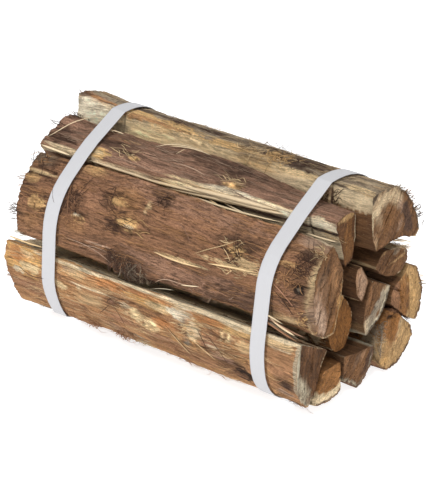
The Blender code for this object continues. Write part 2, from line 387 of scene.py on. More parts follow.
TOP.end_marks = [
    end_tint(10, 93, 24, 10, 16, "straw", 0.65),
    end_tint(2, 84, 16, 8, -60, "straw", 0.6),
    end_tint(38, 86, 15, 8, -30, "straw", 0.6),
    end_tint(46, 76, 10, 5, -60, "blush", 0.6),
    end_patch(-4, 74, 20, 2.0, 90, "straw", 0.6),
    end_tint(1, 55, 8, 4, 90, "tan", 0.6),
    end_tint(24, 70, 14, 12, 0, "orange_heart", 0.4),
    end_patch(-1, 101, 10, 4, 45, "soot", 0.8),
    end_patch(24, 100, 6, 2.5, 10, "soot", 0.7),
    end_crack(46, 85, 9, 1.3, 50, "dark_heart", 0.8),
    end_crack(26, 75, 11, 1.2, 46, "soot", 0.9),
    end_patch(60, 57, 19, 7, -64, "dark_bark", 0.85),
    end_patch(38, 57, 16, 6, 66, "dark_heart", 0.5),
    end_patch(47, 56, 9, 4, 60, "blush", 0.35),
    end_patch(0, 54, 11, 4, 85, "pink_wood", 0.7),
]
TOP.tufts = [
    Tuft(-160, 12, 108, 14, 10, 12, 4, "brown_bark", -1),
    Tuft(-70, 34, 98, 8, 14, 22, 5, "grey_bark"),
    Tuft(-35, 33, 99, 14, 10, 16, 5, "grey_bark"),
    Tuft(22, 34, 98, 30, 12, 18, 6, "grey_bark", 0, 0.4),
    Tuft(46, 32, 99, 30, 10, 16, 8, "dark_bark", 0, 0.4),
    Tuft(66, 33, 98, 22, 10, 16, 5, "grey_bark", 0, 0.4),
    Tuft(30, 14, 104, 60, 14, 12, 3, "tan", 0, 0.9),
    Tuft(60, 12, 104, 70, 16, 12, 3, "orange_bark", 0, 0.9),
    Tuft(84, 10, 104, 40, 12, 10, 3, "dark_bark", 0, 0.9),
    Tuft(128, -6, 90, 60, 7, 12, 5, "dark_bark", 0, 0.7),
    Tuft(166, 40, 92, 26, 10, 8, 4, "grey_bark", 1, 0.6),
    Tuft(165, 58, 78, 34, 12, 9, 6, "brown_bark", 1, 0.6),
    Tuft(164, 74, 56, 40, 14, 9, 6, "dark_bark", 1, 0.6),
]

UPPER_SLAB = Timber("log_upper_slab", "brown_bark_wood", 23,
                    ("purple_bark", "dark_bark", "brown_bark"), ("sapwood", "dark_heart"),
                    bark_from=(-9, 86), bark_to=(-46, 76), sap=26, rim=-4, pith=(-20, 10), saw=85,
                    lint=60, lint_shade="blush", weave=16, bold=0.85)
UPPER_SLAB.marks = [
    swell(22, -8, 88, 84, 16, "dark_bark", 7.6),
    swell(-165, -17, 94, 24, 12, "purple_bark", 4.0),
    patch(-138, -48, 71, 60, 5.5, "brown_bark", 0.95),
    patch(-78, -44, 68, 44, 4.8, "brown_bark", 0.9),
    patch(-140, -54, 82.5, 18, 2.5, "orange_bark", 0.5),
    line(-120, -51, 77.2, 70, 2.1, "sapwood"),
    line(-60, -49, 77.4, 40, 2.6, "sapwood"),
    tint(-92, -28, 92, 26, 12, "dark_bark", 0.7),
    patch(-98, -24, 92.5, 14, 2.5, "brown_bark", 0.9),
    patch(-84, -20, 92.5, 12, 2.0, "orange_bark", 0.5),
    patch(-101, -46, 86.3, 12, 6, "orange_bark"),
    patch(-102, -46.5, 86, 6, 3, "tan"),
    tint(-79, -38, 90, 10, 6, "dark_bark", 0.7),
    line(-108, -12, 92.5, 14, 1.0, "sapwood", 0.8),
    crack(-75, -37, 90, 9, 3, "soot", 0.8),
    knot(-64, -41, 88.7, 5.5, 3, "orange_bark", 0.8),
    knot(46, -36, 89.5, 9, 5, "orange_bark", 0.9),
    crack(38, -37, 89, 4, 2, "soot", 0.7),
    patch(12, -14, 92, 46, 9, "dark_bark", 0.6),
    patch(60, -14, 92, 46, 7, "dark_bark", 0.5),
    patch(-120, -30, 92, 30, 8, "dark_bark", 0.4),
    line(0, -45, 80, 34, 3.0, "sapwood", 0.9),
    line(62, -42.2, 85.6, 48, 4.2, "cream", 0.9),
    line(6, -44.6, 84.4, 36, 2.6, "honey", 0.7),
    line(104, -41, 81.8, 22, 5.0, "cream", 0.95),
    line(92, -41, 86, 30, 2.4, "honey", 0.8),
    line(-132, -52, 81.6, 40, 3.4, "straw", 0.75),
    line(-72, -49.5, 79.6, 44, 2.4, "straw", 0.85),
    line(-14, -45.4, 81.0, 36, 3.2, "honey", 0.7),
    tint(22, -20, 91.5, 46, 12, "dark_bark", 0.6),
    line(44, -44.5, 85, 40, 2.4, "sapwood", 0.9),
    line(90, -42.5, 85.5, 34, 2.2, "sapwood", 0.9),
    line(-60, -46, 86, 34, 0.8, "blush", 0.5),
    line(20, -42.5, 79, 60, 4.0, "sapwood", 0.8),
    line(86, -40, 79, 40, 3.5, "sapwood", 0.8),
    patch(140, -39, 81, 24, 5, "sapwood"),
    tint(144, -39, 80, 22, 5, "cream", 0.9),
    line(145, -37, 74, 24, 1.1, "soot", 0.9),
    line(140, -36, 69, 24, 1.0, "soot", 0.9),
    patch(150, -35, 71.5, 20, 1.6, "sapwood", 0.9),
    # Painted shadow: this tint and the two dark lines after it darken the slab's lower face in the
    # shaded wedge under its pale band.
    tint(74, -39.5, 74, 48, 4.5, "dark_bark"),
    line(30, -39.5, 70, 32, 2.6, "soot", 0.9),
    line(72, -37.5, 69, 34, 1.8, "soot", 0.9),
    patch(-152, -40, 88, 12, 10, "dark_bark", 0.6),
    tint(104, -40.5, 81, 22, 4.5, "cream", 0.85),
    tint(46, -42, 87, 22, 3, "sapwood", 0.7),
    tint(-51, -48, 79, 22, 3, "sapwood", 0.6),
    tint(-142, -53, 81, 22, 3, "sapwood", 0.5),
]
UPPER_SLAB.end_marks = [
    end_patch(-22, 86, 17, 3.0, 0, "rim_wood", 0.9),
    end_patch(-20, 62, 24, 8, 95, "orange_heart", 0.45),
]
UPPER_SLAB.tufts = [
    Tuft(-158, -34, 90, 16, 14, 14, 4, "dark_bark", -1),
    Tuft(-156, -6, 93, 40, 8, 10, 6, "dark_bark", -1, 0.6),
    Tuft(-75, -37, 90, 16, 8, 16, 4, "tan"),
    Tuft(-30, -24, 92, 16, 10, 22, 3, "blush"),
    Tuft(42, -32, 91, 26, 8, 14, 4, "tan"),
    Tuft(120, -8, 89, 16, 9, 12, 4, "dark_bark"),
    Tuft(148, -36, 70, 14, 10, 14, 3, "tan", 1),
]
UPPER_SLAB.slivers = [
    Sliver([(-162, -57, 82), (-146, -56, 80.5), (-128, -54.5, 79)], 1.2, 0.8, "sapwood"),
    Sliver([(-107, -52.5, 79.5), (-80, -51.5, 78.5), (-50, -50.5, 78), (-26, -49, 76)],
           1.5, 0.9, "buff"),
    Sliver([(-60, -48.5, 75), (-32, -47.2, 75.5), (-4, -46.8, 77.5), (30, -46.4, 80)],
           1.8, 0.8, "straw"),
    Sliver([(-24, -46.2, 72.8), (8, -46, 75.4), (44, -45.4, 78.6), (74, -44.8, 80)],
           2.2, 0.8, "buff"),
    Sliver([(-10, -46.8, 79.5), (28, -46.4, 82.2), (62, -45.3, 83.4), (100, -43.5, 84)],
           2.4, 0.8, "buff"),
    Sliver([(26, -46, 79.6), (58, -45.4, 80.6), (84, -44.4, 81), (106, -43.0, 81.4)],
           2.2, 0.8, "buff"),
    Sliver([(-160, -50, 88), (-156, -45, 90), (-149, -28, 98.5), (-142, 0.5, 96)],
           0.5, 0.45, "sapwood"),
    Sliver([(-14, -44, 72), (12, -45, 71.5), (40, -46, 71), (70, -46, 72), (104, -44, 74)],
           1.1, 0.7, "sapwood"),
    Sliver([(20, -44, 75), (32, -45, 72), (46, -46, 69)], 0.8, 0.5, "tan"),
    Sliver([(38, -42, 74), (60, -44, 71), (80, -45, 71)], 0.9, 0.5, "sapwood"),
    Sliver([(128, -42, 70), (144, -41, 69), (158, -39, 69)], 0.9, 0.6, "sapwood"),
    Sliver([(-116, -15, 94.5), (-106, -14.5, 95.5), (-96, -15, 95)], 0.8, 0.5, "sapwood"),
    Sliver([(-54, -21, 96), (-44, -12, 98.5), (-28, -7, 98.5), (-10, -6, 98)],
           0.55, 0.4, "sapwood"),
    Sliver([(-44, -14, 96.5), (-32, -10, 98), (-14, -8, 98.5), (2, -9, 97)], 0.5, 0.4, "sapwood"),
    Sliver([(-46, -10, 97.5), (-34, -6, 99), (-18, -5, 99)], 0.35, 0.3, "straw"),
    Sliver([(-28, -10, 97), (-30, -14, 95.5), (-32, -20, 94)], 0.3, 0.3, "straw"),
    Sliver([(-20, -33, 93), (0, -33, 92.5), (14, -36, 91)], 0.5, 0.4, "blush"),
]

FRONT_HALF = Timber("log_front_half", "brown_bark_wood", 37, ("brown_bark", "dark_bark", "peeled"),
                    ("sapwood", "red_heart"), bark_from=(-53, 77), bark_to=(-79, -6), sap=7,
                    rim=-1, pith=(-52, 34), saw=62, lint=100, lint_shade="peeled", weave=9,
                    bold=0.75)
FRONT_HALF.marks = [
    swell(-60, -54, 76, 90, 12, "brown_bark", 3.5),
    patch(20, -66, 73, 90, 9, "purple_bark", 0.5),
    patch(40, -96, 22, 110, 10, "purple_bark", 0.6),
    patch(-146, -67, 73.6, 14, 8, "dark_bark", 0.6),
    patch(-150, -83, 62, 7, 6, "orange_bark", 0.45),
    knot(-136, -96, 44, 9, 7, "orange_bark", 0.6),
    tint(-152, -62.5, 75.8, 13, 9, "grey_bark", 0.55),
    tint(-150, -90, 55, 9, 6, "dark_bark", 0.6),
    line(-89, -94.8, 45, 5, 1.8, "cream"),
    line(-90, -93.6, 47.6, 6, 1.0, "soot", 0.8),
    tint(-74, -82, 61, 24, 14, "russet", 0.55),
    tint(-84, -97, 30, 26, 12, "brown_bark", 0.5),
    tint(10, -92, 45, 30, 14, "brown_bark", 0.5),
    tint(30, -80, 62, 30, 10, "russet", 0.4),
    tint(-92, -62, 76, 13, 6, "orange_bark", 0.7),
    crack(-66, -76, 67, 10, 1.5, "dark_bark", 0.8),
    tint(-60, -82, 61, 9, 8, "dark_bark", 0.6),
    tint(-46, -76, 67, 17, 11, "peeled", 0.9),
    knot(-50, -79, 64, 8, 5, "orange_bark", 0.7),
    patch(-12, -64, 74, 14, 4, "dark_bark", 0.7),
    line(-19, -77, 66, 2.5, 7, "tan", 0.7),
    knot(-3, -68, 72, 5, 3, "dark_bark", 0.8),
    patch(-97, -90, 53, 10, 11, "dark_bark", 0.55),
    knot(-86, -96, 43, 9, 3.5, "orange_bark", 0.8),
    patch(-43, -94, 45, 5, 12, "dark_bark", 0.7),
    tint(-33, -89, 53, 16, 9, "peeled", 0.9),
    knot(-31, -90.5, 51, 12, 5.5, "orange_bark", 0.9),
    line(-30, -91.5, 49, 6, 2, "sapwood", 0.7),
    patch(36, -96, 36, 34, 1.8, "tan", 0.9),
    patch(92, -92, 45, 40, 2.6, "tan"),
    tint(84, -83, 59, 20, 13, "dark_bark", 0.7),
    patch(76, -78, 63.5, 12, 5, "dark_bark", 0.6),
    tint(85, -85, 57, 14, 9, "peeled", 0.9),
    knot(87, -86, 56, 8, 5, "orange_bark"),
    patch(100, -89.5, 50, 14, 4, "tan", 0.7),
    tint(99, -80, 62, 12, 7, "dark_bark", 0.8),
    tint(54, -96, 33, 18, 8, "dark_bark", 0.35),
    tint(150, -60, 72.5, 15, 9, "blush", 0.9),
    tint(-141, -100, 27, 14, 9, "peeled", 0.5),
    tint(-88, -97.5, 35, 11, 8, "peeled", 0.6),
    swell(-26, -95, 4, 34, 12, "dark_bark", 4.0),
    tint(-28, -97.5, 12, 30, 14, "dark_bark"),
    knot(-37, -98, 17, 9, 6, "grey_bark", 0.7),
    knot(-24, -97, 9, 8, 6, "grey_wood", 0.7),
    knot(-12, -97, 5, 8, 5, "grey_bark", 0.6),
    # Painted shade: darkens the lower part of the front log beside the gap below it.
    patch(96, -96, 18, 26, 12, "dark_bark", 0.7),
    patch(50, -96, 10, 60, 6, "dark_bark", 0.55),
    line(-72, -99.3, 21, 40, 1.2, "dark_bark", 0.8),
    line(-56, -98.6, 25, 24, 0.8, "blush", 0.8),
    patch(135, -82, 59, 12, 2.4, "orange_bark", 0.6),
    chip(171.5, -86, 42, 6.0, 46, "pink_wood"),
    tint(170, -91.5, 22, 7, 12, "blush", 0.7),
    patch(144, -92.5, 38, 16, 5, "russet", 0.7),
    line(146, -93.5, 32, 14, 1.2, "dark_bark", 0.8),
    patch(122, -94, 14, 12, 8, "dark_bark", 0.6),
    patch(153, -70, 67, 9, 6, "dark_bark", 0.6),
    patch(160, -52, 75, 10, 4, "sapwood", 0.8),
    line(-148, -78, 67, 26, 1.8, "tan", 0.6),
    tint(142, -94, 12, 20, 6, "tan", 0.75),
    tint(164, -92, 18, 5, 7, "dark_bark", 0.6),
    tint(160, -92, 34, 6, 6, "dark_bark", 0.5),
    tint(165, -83, 52, 5, 22, "tan", 0.75),
    tint(155, -90, 43, 12, 9, "dark_bark", 0.8),
    patch(155, -90, 43, 6, 5, "soot", 0.9),
    line(155, -90, 43, 2.2, 1.8, "grey_wood", 0.55),
]
FRONT_HALF.end_marks = [
    end_tint(-74, 38, 16, 12, 70, "pink_wood", 0.8),
    end_tint(-81, 19, 16, 10, -64, "blush", 0.9),
    end_tint(-76, 8, 10, 6, -60, "blush", 0.7),
    end_tint(-60, 56, 16, 4, 32, "soot", 0.5),
    end_tint(-52, 44, 14, 9, 70, "peeled", 0.4),
    end_patch(-50, 5, 26, 8, 50, "umber_heart", 0.95),
    end_patch(-45, 20, 10, 6, 60, "amber", 0.35),
    end_crack(-60, 14, 30, 1.0, 52, "soot", 0.8),
    end_tint(-62, 44, 22, 4, 60, "dark_heart", 0.5),
    end_crack(-79, 18, 6, 1.8, 60, "soot", 0.9),
    end_crack(-72, 41, 4, 0.8, 20, "dark_heart", 0.8),
    end_crack(-62, 30, 14, 0.8, 65, "dark_heart", 0.8),
]
FRONT_HALF.tufts = [
    Tuft(-154, -90, 54, 14, 14, 9, 3, "brown_bark", -1),
    Tuft(-158, -99, 30, 26, 12, 10, 3, "dark_bark", -1),
    Tuft(-150, -96, 8, 12, 12, 22, 3, "grey_sap", -1),
    Tuft(-43, -92, 48, 40, 12, 14, 4, "dark_bark"),
    Tuft(-22, -92, 50, 12, 10, 14, 4, "orange_bark"),
    Tuft(-58, -80, 63, 30, 10, 12, 4, "dark_bark", 0, 0.5),
    Tuft(-8, -67, 72.5, 30, 7, 9, 4, "dark_bark", 0, 0.8),
    Tuft(80, -82, 60, 10, 11, 12, 3, "tan"),
    Tuft(86, -84, 57, 36, 12, 14, 4, "dark_bark", 0, 0.6),
    Tuft(100, -90, 50, 18, 11, 14, 4, "tan"),
    Tuft(90, -92, 44, 30, 10, 12, 3, "tan", 0, 0.3),
    Tuft(-44, -98, 21, 50, 7, 6, 4, "dark_bark", 0, 0.8),
    Tuft(-36, -98, 15, 70, 8, 6, 5, "dark_bark", 0, 0.8),
    Tuft(-26, -96, 9, 90, 8, 6, 6, "dark_bark", 0, 0.8),
    Tuft(-15, -96, 4, 90, 8, 6, 6, "dark_bark", 0, 0.8),
    Tuft(-5, -96, 1, 60, 8, 6, 5, "dark_bark", 0, 0.8),
    Tuft(-34, -97, 14, 60, 10, 7, 6, "brown_bark", 0, 0.8),
    Tuft(-22, -97, 8, 80, 12, 7, 7, "grey_wood", 0, 0.8),
    Tuft(-12, -97, 3, 50, 12, 7, 7, "grey_bark", 0, 0.8),
    Tuft(-96, -91, 52, 60, 12, 13, 3, "brown_bark", 0, 1.0),
    Tuft(-97, -87, 57, 40, 9, 12, 3, "dark_bark", 0, 0.9),
    Tuft(-92, -97, 37, 14, 9, 7, 2, "peeled", 0, 0.8),
    Tuft(-151, -64, 75, 26, 10, 14, 3, "dark_bark", 0, 0.9),
    Tuft(-150, -66, 74, 16, 10, 12, 2, "peeled", 0, 0.5),
    Tuft(50, -96, 6, 60, 46, 20, 5, "purple_bark", 0, 0.4),
    Tuft(58, -94, 3, 26, 26, 6, 6, "blush", 0, 1.0),
    Tuft(130, -93, 38, 16, 12, 14, 3, "brown_bark", 1, 0.5),
    Tuft(140, -92, 32, 20, 12, 14, 3, "dark_bark", 1, 0.5),
    Tuft(153, -72, 65, 30, 8, 9, 3, "dark_bark", 0, 0.8),
    Tuft(146, -83, 57, 12, 14, 10, 3, "peeled", 1, 0.3),
    Tuft(160, -92, 14, 40, 10, 9, 3, "orange_bark", 1, 0.6),
    Tuft(150, -82, 58, 60, 13, 9, 2, "dark_bark", 0, 0.9),
    Tuft(143, -89, 48, 44, 12, 9, 2, "peeled", 0, 0.7),
    Tuft(158, -64, 69, 30, 9, 8, 3, "tan", 0, 0.9),
]
FRONT_HALF.slivers = [
    Sliver([(123, -97, 7), (134, -99, 5.5), (148, -99, 1), (160, -96, -4)],
           2.8, 0.8, "brown_bark"),
    Sliver([(112, -98, 14), (128, -98, 14), (144, -98, 10)], 1.6, 0.8, "buff"),
    Sliver([(4, -98.5, 37), (30, -99, 35.5), (56, -98, 37)], 0.8, 0.5, "tan"),
    Sliver([(62, -95.5, 42), (86, -94.5, 45.5), (110, -93, 47)], 0.9, 0.5, "tan"),
    Sliver([(131, -94, 43), (142, -95, 37), (154, -95, 27)], 0.7, 0.5, "russet"),
    Sliver([(132, -95, 38), (144, -96, 30), (154, -96, 20)], 0.5, 0.5, "dark_bark"),
    Sliver([(-100, -100.5, 22), (-72, -100.5, 22), (-52, -99.5, 16), (-40, -99.5, 8)],
           0.35, 0.3, "blush"),
    Sliver([(-84, -100, 17), (-66, -100, 23), (-48, -99.5, 21)], 0.3, 0.3, "blush"),
    Sliver([(44, -93, 45), (62, -88.5, 54.5), (76, -84.5, 60), (84, -78, 65)], 0.25, 0.25, "tan"),
    Sliver([(72, -87, 57), (78, -89, 54), (84, -92, 48)], 0.3, 0.25, "tan"),
    Sliver([(82, -84.5, 60), (90, -88.5, 54), (102, -89, 53)], 0.3, 0.25, "tan"),
    Sliver([(123, -95, 9), (136, -96, 7.5), (150, -95, 3), (162, -90, -1)],
           2.4, 0.9, "purple_bark"),
    Sliver([(118, -92, 2), (138, -93.5, 1), (160, -90, -6)], 2.2, 0.9, "brown_bark"),
    Sliver([(4, -98, 6), (14, -99.5, 15), (26, -99.5, 16), (36, -98.5, 13.5), (50, -98.5, 17.5)],
           0.5, 0.4, "blush"),
    Sliver([(34, -98.5, 13.5), (44, -98.6, 15.5), (54, -98.2, 18)], 0.8, 0.5, "sapwood"),
    Sliver([(-3, -94, -4), (12, -96, 2), (24, -96, 4)], 0.5, 0.4, "grey_sap"),
    Sliver([(-122, -88, 60), (-116, -95.5, 49), (-109, -95, 47), (-104, -97.5, 40)],
           0.25, 0.25, "dark_bark"),
]

LOWER_FRONT = Timber("log_lower_front", "peeled_bark_wood", 41, ("peeled", "brown_bark", "amber"),
                     ("grey_sap", "dark_heart"), bark_from=(-101, -1), bark_to=(-79, -77), sap=9,
                     rim=3, pith=(-52, -40), saw=84, lint=80, weave=26, bold=0.7)
LOWER_FRONT.marks = [
    patch(-40, -57, -19, 196, 34, "straw"),
    patch(-155, -99, -20, 24, 15, "amber"),
    patch(-150, -99, -12, 12, 4, "tan", 0.9),
    patch(-165, -98, -14, 7, 5, "orange_bark", 0.9),
    tint(-157, -99, -17, 13, 8, "rust", 0.7),
    patch(-145, -98.8, -24, 13, 7, "tan"),
    patch(-142, -98.8, -24, 8, 4, "honey", 0.6),
    patch(-163, -98, -16, 8, 7, "rust", 0.7),
    patch(-160, -97, -32, 8, 3, "cream", 0.7),
    tint(-145, -92, -50, 30, 12, "russet", 0.8),
    patch(-96, -99.5, -8.5, 14, 4, "blush", 0.7),
    patch(-50, -99.5, -11.5, 34, 5.0, "rust", 0.8),
    tint(-86, -99.6, -12, 12, 6, "tan", 0.6),
    patch(-18, -100, -9.5, 32, 4.5, "rust", 0.75),
    tint(-24, -99.6, -9, 14, 5, "brown_bark", 0.6),
    patch(30, -101, -9, 26, 3, "rust", 0.5),
    patch(-106, -99, -31, 9, 4.5, "honey", 0.8),
    line(-66, -100.3, -22.5, 32, 1.2, "sapwood", 0.9),
    tint(-70, -98, -37, 26, 9, "peeled", 0.8),
    tint(-36, -97, -44, 24, 8, "russet", 0.8),
    tint(-72, -98.5, -35, 18, 7, "tan", 0.55),
    tint(-46, -87.5, -63, 20, 8, "blush", 0.6),
    tint(-44, -100.5, -28, 9, 7, "dark_bark", 0.8),
    knot(-44, -100.5, -27.5, 5, 4, "purple_bark", 0.8),
    patch(-30, -101, -26, 9, 2.6, "sapwood", 0.8),
    patch(12, -101, -15, 36, 5, "amber", 0.8),
    patch(16, -101.4, -15, 16, 4.5, "tan"),
    knot(-14, -100.3, -33, 9, 7, "tan"),
    patch(-13, -100.4, -33, 7, 5, "honey", 0.8),
    knot(2, -99.7, -37, 11, 9, "tan"),
    patch(2, -99.7, -36.5, 9, 6.5, "honey", 0.75),
    patch(14, -100.8, -29, 13, 3.5, "rust", 0.8),
    patch(35, -101.6, -13.5, 13, 9.5, "cream"),
    tint(35, -101.6, -13.5, 11, 8, "blush", 0.3),
    patch(47, -102, -18.5, 6, 3, "rust", 0.7),
    patch(12, -100.5, -33.5, 5, 3, "rust", 0.7),
    knot(52, -102.4, -27, 10, 10, "tan"),
    patch(51, -102.4, -26, 6, 8, "sapwood", 0.9),
    knot(43, -101, -38, 4, 5, "grey_wood"),
    tint(67, -102, -33, 12, 10, "russet"),
    crack(60, -101.5, -40, 12, 1.4, "dark_bark", 0.8),
    knot(87, -102.5, -19, 7, 6, "tan"),
    patch(96, -102, -11, 24, 4, "orange_bark", 0.8),
    patch(70, -101.5, -11, 18, 2.5, "rust", 0.7),
    patch(107, -102.6, -24, 9, 6, "tan", 0.6),
    tint(86, -100, -44, 22, 11, "dark_bark", 0.9),
    patch(80, -100, -43, 14, 5, "purple_bark", 0.8),
    patch(72, -101, -35, 9, 1.6, "sapwood", 0.8),
    patch(103, -96, -55, 13, 8, "soot", 0.95),
    patch(82, -95, -56, 12, 2, "orange_bark", 0.8),
    patch(40, -95, -57, 60, 6, "brown_bark", 0.6),
    patch(10, -97, -48, 30, 4, "russet", 0.7),
    patch(-90, -92, -54, 50, 7, "brown_bark", 0.5),
    patch(142, -102, -8, 18, 5.5, "tan", 0.8),
    line(144, -103, -13, 17, 0.9, "sapwood", 0.9),
    tint(145, -103.8, -28, 17, 15, "russet"),
    tint(152, -101, -46, 14, 9, "dark_bark"),
    tint(144, -103.8, -25, 16, 11, "peeled", 0.7),
    patch(147, -96, -58, 16, 4, "blush", 0.7),
    line(164.5, -103, -30, 4.4, 34, "grey_sap", 0.8),
    line(-95, -98.5, -6.8, 50, 1.8, "sapwood"),
    line(-20, -98.9, -5.2, 60, 1.9, "sapwood"),
    line(60, -99.9, -4.6, 60, 2.6, "sapwood"),
    line(100, -100.6, -6.5, 24, 3.6, "sapwood"),
    line(146, -101, -3.5, 24, 3.0, "sapwood"),
    patch(-150, -96, -3, 26, 2.2, "sapwood", 0.9),
]
LOWER_FRONT.end_marks = [
    end_patch(-101, -22, 30, 2.6, 90, "grey_sap", 0.8),
    end_tint(-90, -54, 22, 8, -57, "grey_sap", 0.8),
    end_tint(-74, -16, 14, 8, 0, "brown_bark", 0.4),
    end_patch(-80, -30, 30, 5, 84, "dark_heart", 0.5),
    end_crack(-76, -26, 20, 0.9, 84, "soot", 0.6),
    end_crack(-88, -46, 10, 0.8, 92, "soot", 0.5),
]
LOWER_FRONT.tufts = [
    Tuft(-172, -94, -40, 26, 16, 9, 3, "brown_bark", -1),
    Tuft(-134, -79, -71, 12, 10, 22, 4, "grey_wood", -1, 0.1),
    Tuft(-124, -79, -72, 30, 5, 8, 5, "dark_bark", 0, 0.8),
    Tuft(-80, -82, -69, 60, 6, 9, 5, "brown_bark", 0, 0.8),
    Tuft(-50, -82, -70, 60, 7, 9, 5, "brown_bark", 0, 0.8),
    Tuft(-36, -83, -69, 60, 9, 10, 5, "brown_bark", 0, 0.8),
    Tuft(-12, -87, -66, 20, 8, 14, 4, "grey_sap", -1, 0.2),
    Tuft(30, -90, -62, 40, 30, 14, 4, "brown_bark", 0, 0.5),
    Tuft(96, -96, -58, 30, 14, 16, 4, "dark_bark"),
    Tuft(-40, -101, -27, 20, 8, 12, 3, "dark_bark"),
    Tuft(40, -102, -30, 30, 14, 14, 3, "tan"),
    Tuft(150, -90, -66, 30, 12, 12, 4, "dark_bark"),
    Tuft(62, -91, -62, 26, 24, 11, 5, "brown_bark", 0, 0.7),
    Tuft(10, -88, -66, 20, 20, 9, 5, "peeled", 0, 0.8),
    Tuft(-108, -80, -71, 20, 20, 10, 4, "brown_bark", 0, 0.6),
]
LOWER_FRONT.slivers = [
    Sliver([(-156, -99.5, -27), (-145, -100, -32), (-132, -100.5, -31), (-118, -100.5, -27)],
           0.3, 0.3, "dark_bark"),
    Sliver([(128, -95.5, 11), (140, -97, 6), (156, -97, 2)], 1.2, 0.7, "sapwood"),
    Sliver([(-44, -101.6, -28), (-51, -101.4, -36), (-59, -99.6, -44)], 0.3, 0.3, "dark_bark"),
    Sliver([(-42, -101.6, -30), (-34, -101.4, -38), (-30, -98.4, -50)], 0.25, 0.25, "dark_bark"),
    Sliver([(22, -101.6, -34), (34, -100.6, -44), (44, -97.6, -54)], 0.4, 0.3, "tan"),
    Sliver([(56, -103.4, -22), (64, -103.2, -34), (66, -102, -42)], 0.3, 0.3, "dark_bark"),
    Sliver([(48, -102.5, -34), (60, -102.4, -40), (74, -100.5, -48)], 0.35, 0.3, "tan"),
    Sliver([(122, -93, 6), (140, -94, 1), (158, -94, -2)], 1.2, 0.6, "grey_wood"),
    Sliver([(64, -103, -22), (78, -103, -34), (88, -101.8, -46)], 0.3, 0.3, "dark_bark"),
    Sliver([(18, -101.6, -30), (34, -101.6, -42), (46, -99, -52)], 0.3, 0.3, "dark_bark"),
    Sliver([(-176, -93, -2), (-150, -97, 0), (-128, -97, 1)], 1.0, 0.6, "tan"),
    Sliver([(130, -101, -52), (146, -104.2, -44), (160, -104.2, -32)], 0.35, 0.3, "brown_bark"),
]

BOTTOM_WEDGE = Timber("log_bottom_wedge", "heartwood", 53, ("brown_bark", "dark_bark", "tan"),
                      ("straw", "orange_heart"), bark_from=(-73, -79), bark_to=(-20, -84), sap=12,
                      rim=9, pith=(-40, -40), saw=18, lint=6)

BOTTOM_QUARTER = Timber("log_bottom_quarter", "heartwood", 59,
                        ("brown_bark", "dark_bark", "grey_bark"), ("grey_sap", "red_heart"),
                        bark_from=(-24, -78), bark_to=(21, -57), sap=6, rim=2.5, pith=(-10, -45),
                        saw=43, lint=8)
BOTTOM_QUARTER.end_marks = [
    end_patch(14, -68, 14, 4, 60, "dark_bark", 0.8),
    end_tint(-4, -62, 18, 4, 55, "blush", 0.2),
    end_tint(-15, -72, 14, 9, 40, "dark_heart", 0.5),
    end_tint(6, -60, 16, 3, 55, "pink_wood", 0.6),
    end_patch(-6, -56, 16, 3, 5, "dark_heart", 0.6),
]

CORE_TALL = Timber("log_core_tall", "heartwood", 61, ("red_heart", "dark_heart", "tan"),
                   ("dark_heart", "umber_heart"), pith=(10, -10), saw=75, lint=5)
CORE_TALL.marks = [
    patch(-40, -24, -17, 190, 90, "straw", 0.7),
]
CORE_TALL.end_marks = [
    end_patch(-28, 6, 16, 9, 60, "amber", 0.35),
]

CORE_STICK = Timber("log_core_stick", "pale_split_wood", 67, ("red_heart", "dark_heart", "tan"),
                    ("dark_heart", "dark_heart"), pith=(30, 40), saw=95, lint=5)
CORE_STICK.end_marks = [
    end_patch(-4, 8, 60, 60, 0, "pink_wood"),
    end_patch(-3, 14, 26, 8, 84, "blush", 0.35),
    end_crack(-8, 14, 12, 0.8, 70, "dark_heart", 0.7),
]

CORE_SLAB = Timber("log_core_slab", "heartwood", 71, ("grey_wood", "dark_bark", "sapwood"),
                   ("grey_sap", "red_heart"), bark_from=(5, -43), bark_to=(45, -5), sap=5, rim=4,
                   pith=(0, 30), saw=75, lint=8)
CORE_SLAB.marks = [
    patch(150, 2, -32, 20, 7, "rim_wood", 0.35),
    tint(146, 6, -22, 34, 14, "soot", 0.6),
]
CORE_SLAB.end_marks = [
    end_patch(26, -18, 30, 6.0, 38, "grey_wood", 0.95),
    end_tint(31, -14, 11, 3, 38, "grey_sap", 0.3),
    end_tint(38, -8, 9, 5, 38, "grey_sap", 0.45),
    end_tint(20, -22, 8, 3, 36, "grey_wood", 0.7),
    end_tint(17, -21, 4, 3, 36, "soot", 0.4),
    end_tint(5, -33, 9, 5, 60, "sapwood", 0.5),
    end_tint(39, -4, 8, 5, 38, "sapwood", 0.5),
    end_crack(14, -8, 14, 0.9, 70, "soot", 0.6),
]

RIGHT_CORE = Timber("log_right_core", "heartwood", 73, ("brown_bark", "dark_bark", "tan"),
                    ("sapwood", "red_heart"), bark_from=(60, 1), bark_to=(61, 27), sap=5, rim=1.5,
                    pith=(20, 10), saw=48)
RIGHT_CORE.marks = [
    patch(156, 50, 31, 14, 12, "sapwood", 0.8),
]
RIGHT_CORE.end_marks = [
    end_crack(40, 22, 10, 0.9, 40, "soot", 0.7),
    end_tint(30, 24, 18, 14, 60, "dark_heart", 0.8),
    end_patch(53, 16.5, 14, 1.5, 3, "rim_wood", 0.7),
    end_patch(36, 33, 12, 1.5, 20, "rim_wood", 0.5),
    end_patch(40, 12, 18, 4, 45, "dark_heart", 0.6),
    end_patch(54, 28, 10, 4, 45, "grey_wood", 0.6),
]
RIGHT_CORE.tufts = [
    Tuft(158, 62, 26, 50, 12, 10, 5, "tan", 1),
    Tuft(156, 56, 30, 40, 12, 10, 5, "sapwood", 1),
]
RIGHT_CORE.slivers = [
    Sliver([(140, 52, 32), (156, 60, 33), (170, 68, 30)], 1.2, 0.6, "sapwood"),
    Sliver([(144, 56, 34), (158, 66, 35), (170, 80, 31)], 0.7, 0.5, "sapwood"),
    Sliver([(144, 44, 35), (158, 50, 36), (168, 58, 34)], 1.0, 0.6, "tan"),
]

